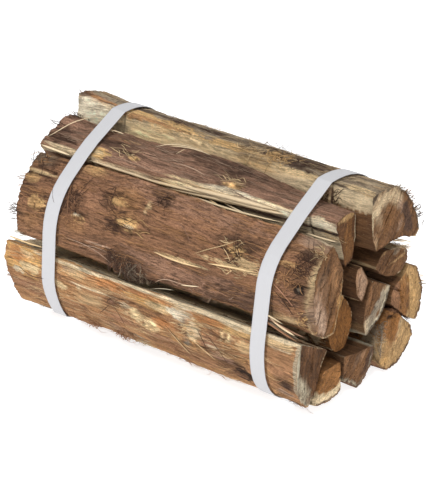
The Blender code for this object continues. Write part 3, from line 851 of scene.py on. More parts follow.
RIGHT_UPPER = Timber("log_right_upper", "pale_split_wood", 79, ("brown_bark", "dark_bark", "tan"),
                     ("rim_wood", "red_heart"), bark_from=(86, -59), bark_to=(73, 5), sap=15,
                     rim=19, pith=(48, -18), saw=100, lint=12)
RIGHT_UPPER.end_marks = [
    end_crack(54, -14, 10, 1.5, -35, "soot", 0.9),
    end_crack(62, -24, 9, 1.4, -70, "soot", 0.8),
    end_patch(66, -24, 40, 7.5, 96, "orange_heart", 0.85),
    end_patch(74, -22, 34, 1.0, 97, "umber_heart", 0.8),
    end_tint(52, -20, 22, 8, 95, "brown_bark", 0.6),
    end_tint(82, -25, 44, 7.5, 96, "amber", 0.28),
]
RIGHT_UPPER.tufts = [
    Tuft(160, 92, -20, 20, 20, 8, 3, "tan", 1),
    Tuft(160, 70, -46, 30, 8, 8, 4, "dark_bark", 1, 0.8),
]
RIGHT_UPPER.slivers = [
    Sliver([(160, 88, -22), (164, 94, -24), (167, 100.2, -26)], 0.7, 0.6, "grey_wood"),
]

RIGHT_LOWER = Timber("log_right_lower", "pale_split_wood", 83,
                     ("brown_bark", "dark_bark", "grey_bark"), ("rim_wood", "orange_heart"),
                     bark_from=(24, -77), bark_to=(80, -61), sap=13, rim=25, pith=(44, -42),
                     saw=70, lint=12)
RIGHT_LOWER.marks = [
    swell(156, 45, -36, 26, 22, "dark_bark", 2.2),
    line(166, 25, -72, 6, 14, "rim_wood"),
    patch(154, 26, -56, 8, 14, "grey_bark", 0.7),
    tint(161, 25, -62, 8, 12, "tan", 0.35),
]
RIGHT_LOWER.end_marks = [
    end_patch(27, -60, 24, 3, 82, "grey_wood", 0.8),
    end_patch(44, -46, 14, 8, -40, "orange_heart", 0.6),
    end_tint(46, -54, 22, 10, 70, "orange_heart", 0.6),
    end_tint(60, -54, 18, 4, 60, "sapwood", 0.2),
    end_tint(50, -46, 16, 8, 60, "umber_heart", 0.7),
    end_tint(26, -78, 20, 6, 0, "amber", 0.5),
    end_crack(42, -37, 9, 2.0, -20, "soot", 0.9),
]
RIGHT_LOWER.tufts = [
    Tuft(158, 25, -60, 60, 16, 7, 3, "grey_bark", 1, 0.7),
    Tuft(160, 26, -46, 50, 10, 7, 3, "grey_wood", 1, 0.7),
    Tuft(160, 48, -34, 40, 10, 7, 3, "brown_bark", 1, 0.7),
]

OUTER = (TOP, UPPER_SLAB, FRONT_HALF, LOWER_FRONT)
INNER = (BOTTOM_WEDGE, BOTTOM_QUARTER, CORE_TALL, CORE_STICK, CORE_SLAB, RIGHT_CORE,
         RIGHT_UPPER, RIGHT_LOWER)


# ---------------------------------------------------------------- a log's rough skin

NO_BARK = 60.0
SLICES = (0.15, 0.85)
RINGS = 28
OUTLINE_POINTS = 721
CROWDING = 0.55


class Solid:
    """A CAD log as rays find it, merged, in mm about the bundle's middle."""

    def __init__(self, node):
        shape = bmesh.new()
        shape.from_mesh(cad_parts[node].data)
        bmesh.ops.remove_doubles(shape, verts=shape.verts, dist=1e-6)
        place = Matrix.Scale(1 / MM, 4) @ Matrix.Translation(-MIDDLE)
        bmesh.ops.transform(shape, matrix=place, verts=shape.verts)
        shape.normal_update()
        self.tree = BVHTree.FromBMesh(shape)
        self.cuts = np.array([self.cut(shape, side) for side in (-1, 1)])
        corners = np.array([vertex.co for vertex in shape.verts])
        shape.free()
        self.centres = [corners[:, 1:].mean(0)] * 2
        self.centres = [self.centroid(share) for share in SLICES]

    def cut(self, shape, side):
        """The plane of one end, as x = a + b y + c z."""
        end = [face for face in shape.faces if face.normal.x * side > 0.9]
        areas = np.array([face.calc_area() for face in end])
        normal = areas @ np.array([face.normal for face in end])
        middle = areas @ np.array([face.calc_center_median() for face in end]) / areas.sum()
        slope = -normal[1:] / normal[0]
        return np.array([middle[0] - slope @ middle[1:], *slope])

    def centre(self, share):
        """The middle of the section, as (y, z), at a share of the length."""
        low, high = self.centres
        return low + (high - low) * (share - SLICES[0]) / (SLICES[1] - SLICES[0])

    def plane(self, share):
        """The sheared section plane at a share of the length."""
        return self.cuts[0] * (1 - share) + self.cuts[1] * share

    def ring(self, share, angles, centre=None):
        """The outline at a share of the length, one point for each angle."""
        centre = self.centre(share) if centre is None else centre
        flat = self.plane(min(max(share, 0.004), 0.996))
        start = Vector((flat[0] + flat[1] * centre[0] + flat[2] * centre[1], *centre))
        points = []
        for cos, sin in zip(np.cos(angles), np.sin(angles)):
            away = Vector((flat[1] * cos + flat[2] * sin, cos, sin))
            hits = (self.tree.ray_cast(start + Vector((nudge, 0, 0)), away)[0]
                    for nudge in (0, 0.01, -0.01))
            points.append(next(hit for hit in hits if hit))
        points = np.array(points)
        flat = self.plane(share)
        points[:, 0] = flat[0] + points[:, 1] * flat[1] + points[:, 2] * flat[2]
        return points

    def centroid(self, share):
        """The centre of area of the section at a share of the length."""
        centre = self.centres[0]
        for _ in range(3):
            ring = self.ring(share, np.linspace(0, math.tau, 48, endpoint=False), centre)
            y, z = ring[:, 1], ring[:, 2]
            cross = y * np.roll(z, -1) - np.roll(y, -1) * z
            centre = np.array([((y + np.roll(y, -1)) * cross).sum(),
                               ((z + np.roll(z, -1)) * cross).sum()]) / (3 * cross.sum())
        return centre


class Skin:
    """The rough surface of one log: rows along it and columns round it, in mm."""

    def __init__(self, timber, sizes, colours):
        self.timber, self.sizes, self.colours = timber, sizes, colours
        self.solid = Solid(timber.node)
        self.lay_out()
        self.find_bark()
        self.follow_grain()
        self.roughen_side()
        self.roughen_ends()

    def lay_out(self):
        """Rings of evenly spaced points, the rings crowded towards the cuts."""
        solid = self.solid
        middle = solid.centre(0.5)
        inwards = math.atan2(-middle[1], -middle[0])
        dense = inwards + np.linspace(0, math.tau, OUTLINE_POINTS)
        ring = solid.ring(0.5, dense)
        step = np.hypot(*np.diff(ring[:, 1:], axis=0).T)
        arc = np.concatenate(([0], np.cumsum(step)))
        self.columns = int(arc[-1] / self.sizes.column_width)
        self.arc = np.linspace(0, arc[-1], self.columns, endpoint=False)
        self.angles = np.interp(self.arc, arc, dense)
        rings = np.array([solid.ring(share, self.angles) for share in np.linspace(0, 1, RINGS)])
        even = np.linspace(0, 1, self.sizes.stations)
        self.shares = even - CROWDING * np.sin(math.tau * even) / math.tau
        at = self.shares * (RINGS - 1)
        low = np.minimum(at.astype(int), RINGS - 2)
        part = (at - low)[:, None, None]
        self.side = rings[low] * (1 - part) + rings[low + 1] * part
        tangent = np.roll(self.side, -2, 1)[..., 1:] - np.roll(self.side, 2, 1)[..., 1:]
        tangent /= np.linalg.norm(tangent, axis=-1, keepdims=True)
        self.out = np.stack((np.zeros(tangent.shape[:2]), tangent[..., 1], -tangent[..., 0]),
                            axis=-1)

    def find_bark(self):
        """How much each column is bark: 1, 0, or between at the border."""
        timber = self.timber
        self.bark = np.zeros(self.columns)
        if timber.bark_from:
            middle = self.solid.centre(0.9)
            start, end = (math.atan2(z - middle[1], y - middle[0])
                          for y, z in (timber.bark_from, timber.bark_to))
            span = (end - start) % math.tau
            along = (self.angles - start) % math.tau
            self.bark = ((along > 0) & (along < span)).astype(float)
            near = np.roll(self.bark, 1) + self.bark + np.roll(self.bark, -1)
            self.bark = near / 3

    def depth(self, rows, rims):
        """How far in from the bark each point is: one rim for each row of points."""
        if not self.bark.any():
            return np.full(rows.shape[:2], NO_BARK)
        barked = self.bark > 0.5
        return np.array([np.sqrt(((row[:, None, 1:] - rim[barked, 1:]) ** 2).sum(-1).min(1))
                         for row, rim in zip(rows, rims)])

    def follow_grain(self):
        """Where the grain runs: it wanders, and parts round the knots."""
        x, arc = self.side[..., 0], np.broadcast_to(self.arc, self.side.shape[:2]).copy()
        seed = self.timber.seed
        arc += 5 * lattice(np.stack((x / 95, arc / 45, x * 0), -1), seed)
        arc += 1.2 * lattice(np.stack((x / 24, arc / 14, x * 0), -1), seed + 1)
        for mark in self.timber.marks:
            if mark.kind == "knot":
                row, column = self.nearest(mark)
                gap = arc - arc[row, column]
                pull = np.exp(-((x - mark.x) / (2.2 * mark.wide)) ** 2
                              - np.abs(gap) / (1.6 * mark.wide))
                arc -= np.tanh(gap / 2) * mark.wide * 0.8 * pull
        self.flow = arc

    def nearest(self, mark):
        """The row and column of the side's point that is nearest to a mark."""
        gap = self.side - (mark.x, mark.y, mark.z)
        return np.unravel_index((gap ** 2).sum(-1).argmin(), gap.shape[:2])

    def strap_offsets(self):
        """How far along X each point of the side is from the middle of each strap."""
        x, y, z = np.moveaxis(self.side, -1, 0)
        return [x - strap_x(node, y, z) for node in STRAPS]

    def strap_cover(self):
        """1 where a strap presses on the side, falling to 0 a few mm beside it."""
        cover = np.zeros(self.side.shape[:2])
        for off in self.strap_offsets():
            cover = np.maximum(cover, 1 - smooth(STRAP_HALF + 0.5, STRAP_HALF + 6, np.abs(off)))
        return cover

    def strap_groove(self):
        """1 in the narrow groove that each strap has pressed beside its near edge; the same mask
        paints the strap's shadow there.
        """
        return sum(np.exp(-((off - STRAP_HALF - 0.4) / 1.2) ** 2)
                   for off in self.strap_offsets())

    def roughen_side(self):
        """Raise and colour the bark and the split faces, then every mark on them."""
        timber, sizes, colours = self.timber, self.sizes, self.colours
        seed = timber.seed
        x, flow, bark = self.side[..., 0], self.flow, self.bark[None, :]
        broad = grain(x, flow, 120, 26, seed + 3, 2)
        strip = grain(x, flow, 85, 7, seed + 5)
        thread = grain(x, flow, 30, 2.1, seed + 9)
        peel = grain(x, flow, 55, 10, seed + 14)
        rift = grain(x, flow, 80, 10, seed + 17, 2)
        blotch = lumps(self.side, 24, seed + 19)
        layer = smooth(-0.02, 0.05, peel)
        cleft = smooth(0.085, 0.02, np.abs(rift)) * smooth(-0.25, 0.1, blotch)
        bark_height = (-0.35 + 0.30 * strip + 0.45 * layer + 0.30 * thread - 0.9 * cleft
                       + 0.25 * broad) * sizes.bark_relief
        split_height = (-0.1 + 0.50 * strip + 0.35 * thread + 0.3 * broad
                        - 0.6 * cleft) * sizes.split_relief
        height = bark_height * bark + split_height * (1 - bark)

        outer, dark, light = (colours[name] for name in timber.barks)
        bold = timber.bold
        bark_paint = mix(outer, dark, 0.55 * bold * smooth(-0.1, 0.6, -strip))
        bark_paint = mix(bark_paint, light, 0.34 * bold * smooth(0.15, 0.7, peel))
        bark_paint = mix(bark_paint, dark, 0.35 * bold * smooth(0.1, 0.7, blotch))
        bark_paint = mix(bark_paint, dark, 0.65 * bold * smooth(0.30, 0.75, -thread))
        bark_paint = mix(bark_paint, light, 0.55 * bold * smooth(0.50, 0.85, thread))
        bark_paint = mix(bark_paint, dark * 0.7, 0.85 * cleft)
        sap, heart = (colours[name] for name in timber.woods)
        deep = self.depth(self.side, self.side) + 2.5 * strip
        wood_paint = mix(sap, heart, smooth(timber.sap - 2.5, timber.sap + 2.5, deep))
        wood_paint = wood_paint * (1 + 0.20 * strip + 0.22 * thread - 0.6 * cleft)[..., None]
        paint = mix(wood_paint, bark_paint, np.broadcast_to(bark, x.shape))

        bend = 1 - (np.roll(self.out, 3, 1) * np.roll(self.out, -3, 1)).sum(-1)
        corner = smooth(0.15, 0.7, bend)
        height -= corner * (0.5 + 0.5 * grain(x, flow, 18, 4, seed + 27, 2))
        paint = mix(paint, light, 0.55 * corner * smooth(-0.1, 0.4, grain(
            x, flow, 45, 8, seed + 29)))

        ragged = 0.5 * grain(x, flow, 20, 2.4, seed + 21) + 0.5 * lumps(self.side, 7, seed + 25)
        crumbs = lumps(self.side, 3.2, seed + 33)
        lumpy = lumps(self.side, 9, seed + 35)
        swollen = np.zeros(x.shape)
        coarse = 0.5 + 0.5 * np.broadcast_to(bark, x.shape)
        for mark in timber.marks:
            off = self.side - (mark.x, mark.y, mark.z)
            sideways = np.hypot(off[..., 1], off[..., 2])
            away = np.hypot(off[..., 0] / mark.long, sideways / mark.wide)
            shade = colours[mark.shade] * (1 + 0.25 * thread + 0.18 * crumbs)[..., None]
            if mark.kind == "knot":
                loose = away + 0.8 * ragged + 0.5 * crumbs
                shade = shade * (1 + 0.35 * crumbs + 0.4 * lumpy)[..., None]
                height += 0.8 * mark.strength * np.exp(-((loose - 0.8) / 0.35) ** 2)
                height -= 0.9 * np.exp(-(loose / 0.4) ** 2) - 0.6 * crumbs * (loose < 1)
                halo = np.exp(-((loose - 1.35) / 0.4) ** 2) * smooth(-0.5, 0.4, thread - crumbs)
                paint = mix(paint, dark * 0.6, 0.7 * halo)
                paint = mix(paint, shade, mark.strength * smooth(1.05, 0.85, loose))
                paint = mix(paint, dark, 0.7 * smooth(0.15, 0.4, -crumbs) * (loose < 0.95))
            elif mark.kind == "chip":
                bite = smooth(1.15, 0.6, away + 0.25 * ragged)
                height -= 4.0 * mark.strength * smooth(1.0, 0.2, away) + 0.5 * bite * ragged
                lip = np.exp(-((away + 0.3 * ragged - 1.1) / 0.2) ** 2)
                paint = mix(paint, colours["tan"], 0.7 * lip)
                paint = mix(paint, shade, mark.strength * bite)
            elif mark.kind == "tint":
                weight = mark.strength * smooth(1.5, 0.1, away + 0.4 * ragged)
                paint = mix(paint, shade, weight)
                coarse = coarse * (1 - 0.35 * weight)
            elif mark.kind == "line":
                weight = mark.strength * smooth(1.1, 0.8, away + 0.25 * ragged)
                height += 0.4 * weight
                paint = mix(paint, shade, weight)
            elif mark.kind == "swell":
                swollen += mark.strength * smooth(1.3, 0.2, away)
            elif mark.kind == "crack":
                open_part = smooth(1.0, 0.6, away + 0.35 * ragged)
                height -= 2.4 * mark.strength * open_part
                paint = mix(paint, shade, mark.strength * open_part)
            else:
                edge = smooth(1.1, 0.85, away + 0.8 * ragged + 0.35 * crumbs)
                paint = mix(paint, shade, mark.strength * edge)

        height = np.clip(height, -8, 0.9) + swollen
        cover, groove = self.strap_cover(), self.strap_groove()
        height = height * (1 - 0.8 * cover) - 0.25 * cover - 1.1 * groove
        # Painted shadow: darken the wood in the groove beside each strap, standing in for the
        # strap's shadow.
        paint = mix(paint, dark * 0.5, 0.75 * groove)

        zero = self.arc * 0
        wide, fine = (lattice(np.stack((self.arc / size, zero, zero + 0.5), -1), seed + 31)
                      for size in (9.0, 2.2))
        fray = sizes.fray * (0.2 + 0.35 * wide + 0.45 * fine)
        fray = np.clip(fray, -0.1, None) * (0.15 + 0.85 * self.bark)
        self.fray = np.stack([fray, np.roll(fray, 17)])
        self.side = self.side + self.out * height[..., None]
        for end, direction in ((0, 1), (1, -1)):
            near_cut = np.abs(self.shares - end) * (self.side[-1, 0, 0] - self.side[0, 0, 0])
            pull = np.exp(-(near_cut / 7) ** 2)[:, None]
            self.side[..., 0] += direction * pull * self.fray[end]
            worn = pull * (0.5 + 0.5 * strip)
            paint = mix(paint, heart if not self.bark.any() else dark, 0.35 * worn)
        self.paint = np.concatenate((paint, coarse[..., None]), axis=-1)

    def roughen_ends(self):
        """Cut ends: rings of points from the rim to the middle, sawn, cracked and coloured."""
        self.caps, self.cap_paint = [], []
        timber, colours = self.timber, self.colours
        sap, heart = (colours[name] for name in timber.woods)
        for end in (0, 1):
            sign = 2 * end - 1
            rim = self.side[-end]
            centre = self.solid.centre(end)
            radius = np.hypot(*(rim[:, 1:] - centre).T)
            count = max(8, int(radius.mean() / self.sizes.ring_width))
            share = (1 - np.arange(1, count + 1) / count)[:, None, None]
            flat = np.empty((count, self.columns, 3))
            flat[..., 1:] = centre + (rim[None, :, 1:] - centre) * share
            plane = self.solid.plane(end)
            y, z = flat[..., 1], flat[..., 2]
            flat[..., 0] = plane[0] + plane[1] * y + plane[2] * z
            deep = self.depth(flat, [rim] * count)
            turn = math.radians(timber.saw)
            along = y * math.cos(turn) + z * math.sin(turn)
            across = -y * math.sin(turn) + z * math.cos(turn)
            seed = timber.seed + 100 + end
            lean = 2.5 * lattice(np.stack((y / 16, z / 16, y * 0 + end), -1), seed + 3)
            saw = grain(along, across + lean, 24, 1.9, seed)
            torn = grain(along, across + lean, 11, 4.5, seed + 5)
            blotch = lumps(flat, 16, seed + 7)
            height = self.sizes.saw_relief * (0.6 * saw + 0.7 * torn - 0.9)
            from_rim = (1 - share[..., 0]) * radius[None]
            height = height - np.abs(self.fray[end]) * np.exp(-(from_rim / 2.5) ** 2) * 0.9
            wood = mix(sap, heart, smooth(timber.rim - 2, timber.rim + 1.5,
                                          deep + 2.2 * torn + 3.0 * blotch))
            wood = wood * (1 + 0.22 * saw + 0.32 * torn + 0.22 * blotch)[..., None]
            if self.bark.any():
                rind = smooth(0.4, 0.6, self.bark)[None] * smooth(2.4, 1.2, from_rim + 1.2 * torn)
                wood = mix(wood, colours[timber.barks[1]], 0.8 * rind)
            pith_off = np.hypot(y - timber.pith[0], z - timber.pith[1])
            year = lattice(np.stack((pith_off / 1.9, y / 40, z / 40), -1), seed + 9)
            wood = wood * (1 - 0.16 * smooth(0.1, 0.8, year))[..., None]
            ragged = 0.6 * torn + 0.5 * lumps(flat, 6, seed + 12)
            for mark in timber.end_marks if end else ():
                angle = math.radians(mark.turn)
                off_y, off_z = y - mark.y, z - mark.z
                far = np.hypot((off_y * math.cos(angle) + off_z * math.sin(angle)) / mark.long,
                               (off_z * math.cos(angle) - off_y * math.sin(angle)) / mark.wide)
                loose = 0.3 if mark.kind == "crack" else 0.7
                edges = (1.5, 0.1) if mark.kind == "tint" else (1.1, 0.75)
                weight = mark.strength * smooth(*edges, far + loose * ragged)
                if mark.kind == "crack":
                    height = height - 2.5 * weight
                wood = mix(wood, colours[mark.shade] * (1 + 0.25 * saw)[..., None], weight)
            flat[..., 0] += sign * height
            self.caps.append(flat)
            self.cap_paint.append(np.concatenate((wood, np.ones_like(y)[..., None]), axis=-1))

    def rows(self):
        """All rows from the middle of the far end to the middle of the near end."""
        points = np.concatenate((self.caps[0][::-1], self.side, self.caps[1]))
        paint = np.concatenate((self.cap_paint[0][::-1], self.paint, self.cap_paint[1]))
        return np.clip(points, BOX_LOW, BOX_HIGH), np.clip(paint, 0.003, 0.95)

    def place(self, x, arc, height):
        """Points over the skin at distances along and round it, and its outward direction."""
        row = np.interp(x, self.side[:, 0, 0], np.arange(len(self.side)))
        column = arc / self.arc[1]
        low_row = np.clip(row.astype(int), 0, len(self.side) - 2)
        low_column = np.floor(column).astype(int)
        part = (row - low_row)[..., None]
        wide = (column - low_column)[..., None]
        first, second = low_column % self.columns, (low_column + 1) % self.columns

        def blend(grid):
            low = grid[low_row, first] * (1 - wide) + grid[low_row, second] * wide
            high = grid[low_row + 1, first] * (1 - wide) + grid[low_row + 1, second] * wide
            return low * (1 - part) + high * part

        points, out = blend(self.side), blend(self.out)
        out /= np.linalg.norm(out, axis=-1, keepdims=True)
        points = points + out * height[..., None]
        points[..., 0] = x
        return points, out


# ---------------------------------------------------------------- meshes

def to_frame(points):
    """Points from mm about the bundle's middle to the frame's metres."""
    return points * MM + np.array(MIDDLE)


def grid_mesh(name, points, paint, flow, band=None):
    """A closed skin: a bmesh grid bent round to the points, welded along its seam.

    Faces outside the rows of the band take the second material.
    """
    rows, columns = points.shape[:2]
    shape = bmesh.new()
    bmesh.ops.create_grid(shape, x_segments=columns, y_segments=rows - 1, size=0.5)
    mesh = bpy.data.meshes.new(name)
    shape.to_mesh(mesh)
    spots = np.empty(len(mesh.vertices) * 3)
    mesh.vertices.foreach_get("co", spots)
    spots = spots.reshape(-1, 3)
    column = np.rint((spots[:, 0] + 0.5) * columns).astype(int) % columns
    row = np.rint((spots[:, 1] + 0.5) * (rows - 1)).astype(int)
    mesh.vertices.foreach_set("co", to_frame(points)[row, column].ravel())
    add_paint(mesh, paint[row, column])
    layer = mesh.attributes.new("flow", "FLOAT_VECTOR", "POINT")
    layer.data.foreach_set("vector", flow[row, column].astype(np.float32).ravel())
    if band is not None:
        corner = np.empty(len(mesh.loops), int)
        mesh.loops.foreach_get("vertex_index", corner)
        face_rows = row[corner.reshape(-1, 4)].min(1)
        mesh.polygons.foreach_set(
            "material_index", ((face_rows < band[0]) | (face_rows >= band[1])).astype(np.int32))
    shape.free()
    shape = bmesh.new()
    shape.from_mesh(mesh)
    bmesh.ops.remove_doubles(shape, verts=shape.verts, dist=1e-7)
    bmesh.ops.recalc_face_normals(shape, faces=shape.faces)
    shape.to_mesh(mesh)
    shape.free()
    mesh.shade_smooth()
    return mesh


def add_paint(mesh, paint):
    """Store a colour for each vertex."""
    layer = mesh.attributes.new("paint", "FLOAT_COLOR", "POINT")
    full = np.ones((len(paint), 4))
    full[:, :paint.shape[1]] = paint
    layer.data.foreach_set("color", full.astype(np.float32).ravel())


def finish_piece(name, mesh, materials, slot, *nodes):
    """Put a mesh in the scene as a piece that rides on the bundle."""
    for material in materials:
        mesh.materials.append(material)
    piece = bpy.data.objects.new(name, mesh)
    bpy.context.scene.collection.objects.link(piece)
    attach(piece, "root")
    if nodes:
        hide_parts(*nodes)


STRAND_RINGS = 8
STRAND_SIDES = 4
STRAND_TAPER = 4.5
SORT_BY = Vector((1, 2, 10))


def add_strand(shape):
    """Extrude a small circle, ring by ring, into one closed strand along Z.

    An extrusion returns its parts in no fixed order, so they are sorted by where they are.
    """
    bmesh.ops.create_circle(shape, cap_ends=True, segments=STRAND_SIDES, radius=1)
    face = list(shape.faces)
    for ring in range(STRAND_RINGS - 1):
        made = bmesh.ops.extrude_face_region(shape, geom=face)
        if ring:
            bmesh.ops.delete(shape, geom=face, context="FACES_ONLY")
        fresh = [item for item in made["geom"] if isinstance(item, bmesh.types.BMVert)]
        bmesh.ops.translate(shape, verts=fresh, vec=(0, 0, 1))
        face = [item for item in made["geom"] if isinstance(item, bmesh.types.BMFace)]

    def spot(part):
        corners = [part] if isinstance(part, bmesh.types.BMVert) else part.verts
        return sum((corner.co for corner in corners), Vector()).dot(SORT_BY) / len(corners)

    for parts in (shape.verts, shape.edges, shape.faces):
        parts.sort(key=spot)


def strand_mesh(name, paths, outs, widths, thicknesses, paint):
    """Many tapered strands: one strand copied over, then laid along the paths."""
    count = len(paths)
    shape = bmesh.new()
    add_strand(shape)
    number = shape.verts.layers.int.new("strand")
    have = 1
    while have < count:
        take = min(have, count - have)
        chosen = [v for v in shape.verts if v[number] < take]
        chosen += [f for f in shape.faces if f.verts[0][number] < take]
        chosen += [e for e in shape.edges if e.verts[0][number] < take]
        made = bmesh.ops.duplicate(shape, geom=chosen)
        for item in made["geom"]:
            if isinstance(item, bmesh.types.BMVert):
                item[number] += have
        have += take
    bmesh.ops.recalc_face_normals(shape, faces=shape.faces)
    mesh = bpy.data.meshes.new(name)
    shape.to_mesh(mesh)
    shape.free()
    spots = np.empty(len(mesh.vertices) * 3)
    mesh.vertices.foreach_get("co", spots)
    spots = spots.reshape(-1, 3)
    which = np.empty(len(mesh.vertices), np.int32)
    mesh.attributes["strand"].data.foreach_get("value", which)
    ring = np.rint(spots[:, 2]).astype(int)
    along = np.gradient(paths, axis=1)
    along /= np.linalg.norm(along, axis=-1, keepdims=True)
    sideways = np.cross(outs, along)
    sideways /= np.linalg.norm(sideways, axis=-1, keepdims=True)
    up = np.cross(along, sideways)
    steps = np.linspace(0.03, 0.97, STRAND_RINGS)
    taper = np.minimum(1, STRAND_TAPER * np.minimum(steps, 1 - steps))
    half = (widths[:, None] * taper[None])[which, ring, None]
    thick = (thicknesses[:, None] * taper[None])[which, ring, None]
    points = (paths[which, ring] + sideways[which, ring] * spots[:, :1] * half
              + up[which, ring] * spots[:, 1:2] * thick)
    points = np.clip(points, BOX_LOW, BOX_HIGH)
    mesh.vertices.foreach_set("co", to_frame(points).ravel())
    add_paint(mesh, paint[which])
    mesh.shade_smooth()
    return mesh


# ---------------------------------------------------------------- loose fibres

FIBRE_REST = 0.12
FIBRE_CLEAR = (8, 11)
LINT_MARGIN = 14


def curve_through(points, count):
    """A smooth path of a number of points through a few given ones."""
    points = np.array(points, float)
    steps = np.linalg.norm(np.diff(points, axis=0), axis=1)
    at = np.concatenate(([0], np.cumsum(steps)))
    even = np.linspace(0, at[-1], count)
    path = np.stack([np.interp(even, at, points[:, axis]) for axis in range(3)], axis=1)
    for _ in range(2):
        path[1:-1] = (path[:-2] + 2 * path[1:-1] + path[2:]) / 4
    return path


def loose_fibres(skin):
    """All the strands that stand on one log: (paths, outs, widths, thicknesses, paint)."""
    timber, colours = skin.timber, skin.colours
    dice = np.random.default_rng(timber.seed)
    steps = np.linspace(0, 1, STRAND_RINGS)
    paths, outs, widths, thicks, paints = [], [], [], [], []

    def scatter(x, arc, reach, lift, heading, shade, width, stray):
        count = len(x)
        run = x[:, None] + heading[:, None] * reach[:, None] * steps
        drift = dice.normal(0, stray, count)[:, None] * reach[:, None] * steps
        curl = dice.normal(0, stray / 2, count)[:, None] * reach[:, None] * np.sin(
            steps * dice.uniform(2, 6, count)[:, None])
        rise = lift[:, None] * steps ** dice.uniform(1.2, 2.6, count)[:, None]
        arch = dice.uniform(0, 0.6, count)[:, None] * lift[:, None] * np.sin(math.pi * steps)
        height = FIBRE_REST + rise + arch
        points, out = skin.place(run, arc[:, None] + drift + curl, height)
        for node in STRAPS:
            off = np.abs(points[..., 0] - strap_x(node, points[..., 1], points[..., 2]))
            points -= out * (height * (1 - smooth(*FIBRE_CLEAR, off)))[..., None]
        paths.append(points)
        outs.append(out)
        widths.append(width)
        thicks.append(width * 0.5)
        dark = colours[timber.barks[1]]
        hue = mix(colours[shade], dark, dice.uniform(0, 0.8, count) ** 1.5)
        paints.append(hue * dice.uniform(0.7, 1.2, (count, 1)))

    bark_arcs = skin.arc[skin.bark > 0.5] if skin.bark.any() else skin.arc
    for _ in range(timber.lint):
        count = int(dice.integers(2, 12))
        middle = dice.uniform(skin.side[0, 0, 0] + LINT_MARGIN,
                              skin.side[-1, 0, 0] - LINT_MARGIN)
        scatter(middle + dice.normal(0, 6, count),
                dice.choice(bark_arcs) + dice.normal(0, 1.6, count), dice.uniform(5, 26, count),
                dice.uniform(0.0, 1.6, count) ** 2, dice.choice([-1.0, 1.0], count),
                timber.lint_shade, dice.uniform(0.09, 0.22, count), 0.07)
    for tuft in timber.tufts:
        row, column = skin.nearest(tuft)
        count = tuft.count
        x = tuft.x + dice.normal(0, tuft.reach * 0.4, count)
        x = np.clip(x, skin.side[0, column, 0] + 1, skin.side[-1, column, 0] - 1)
        heading = (np.full(count, float(tuft.heading)) if tuft.heading
                   else dice.choice([-1.0, 1.0], count))
        scatter(x, skin.arc[column] + dice.normal(0, tuft.reach * 0.4, count),
                tuft.length * dice.uniform(0.3, 1.1, count),
                tuft.lift * dice.uniform(0.0, 1.0, count) ** 1.5, heading, tuft.shade,
                dice.uniform(0.12, 0.36, count), tuft.stray)
    for sliver in timber.slivers:
        path = curve_through(sliver.path, STRAND_RINGS)
        middle = skin.solid.centre(0.5)
        out = path - np.array([0, *middle])
        out[:, 0] = 0
        paths.append(path[None])
        outs.append((out / np.linalg.norm(out, axis=1, keepdims=True))[None])
        widths.append(np.array([sliver.width]))
        thicks.append(np.array([sliver.thickness]))
        paints.append(colours[sliver.shade][None])
    return [np.concatenate(items) for items in (paths, outs, widths, thicks, paints)]


# ---------------------------------------------------------------- materials

COLOUR, VECTOR, ALPHA = 0, 1, 3
OBJECT = 3
BEFORE_COLOURS = (None,) * 5
MIXED_COLOUR = 2
DARKEST = 0.12


class Socket:
    """A shader output with Python's arithmetic: each operation adds its Math node."""

    def __init__(self, finish, link):
        self.finish, self.link = finish, link

    def math(self, operation, *values):
        """One Math node."""
        return self.finish.node("ShaderNodeMath", {"operation": operation}, *values)

    def __add__(self, other):
        return self.math("ADD", self, other)

    __radd__ = __add__

    def __sub__(self, other):
        return self.math("SUBTRACT", self, other)

    def __rsub__(self, other):
        return self.math("SUBTRACT", other, self)

    def __mul__(self, other):
        return self.math("MULTIPLY", self, other)

    __rmul__ = __mul__

    def sine(self):
        """The sine of this angle."""
        return self.math("SINE", self)

    def at_least(self, low):
        """This, or low where that is more."""
        return self.math("MAXIMUM", self, low)

    def step(self, low, high):
        """0 below low, 1 above high, smooth between."""
        return self.finish.node("ShaderNodeMapRange", {"interpolation_type": "SMOOTHSTEP"},
                                self, low, high, 0.0, 1.0)


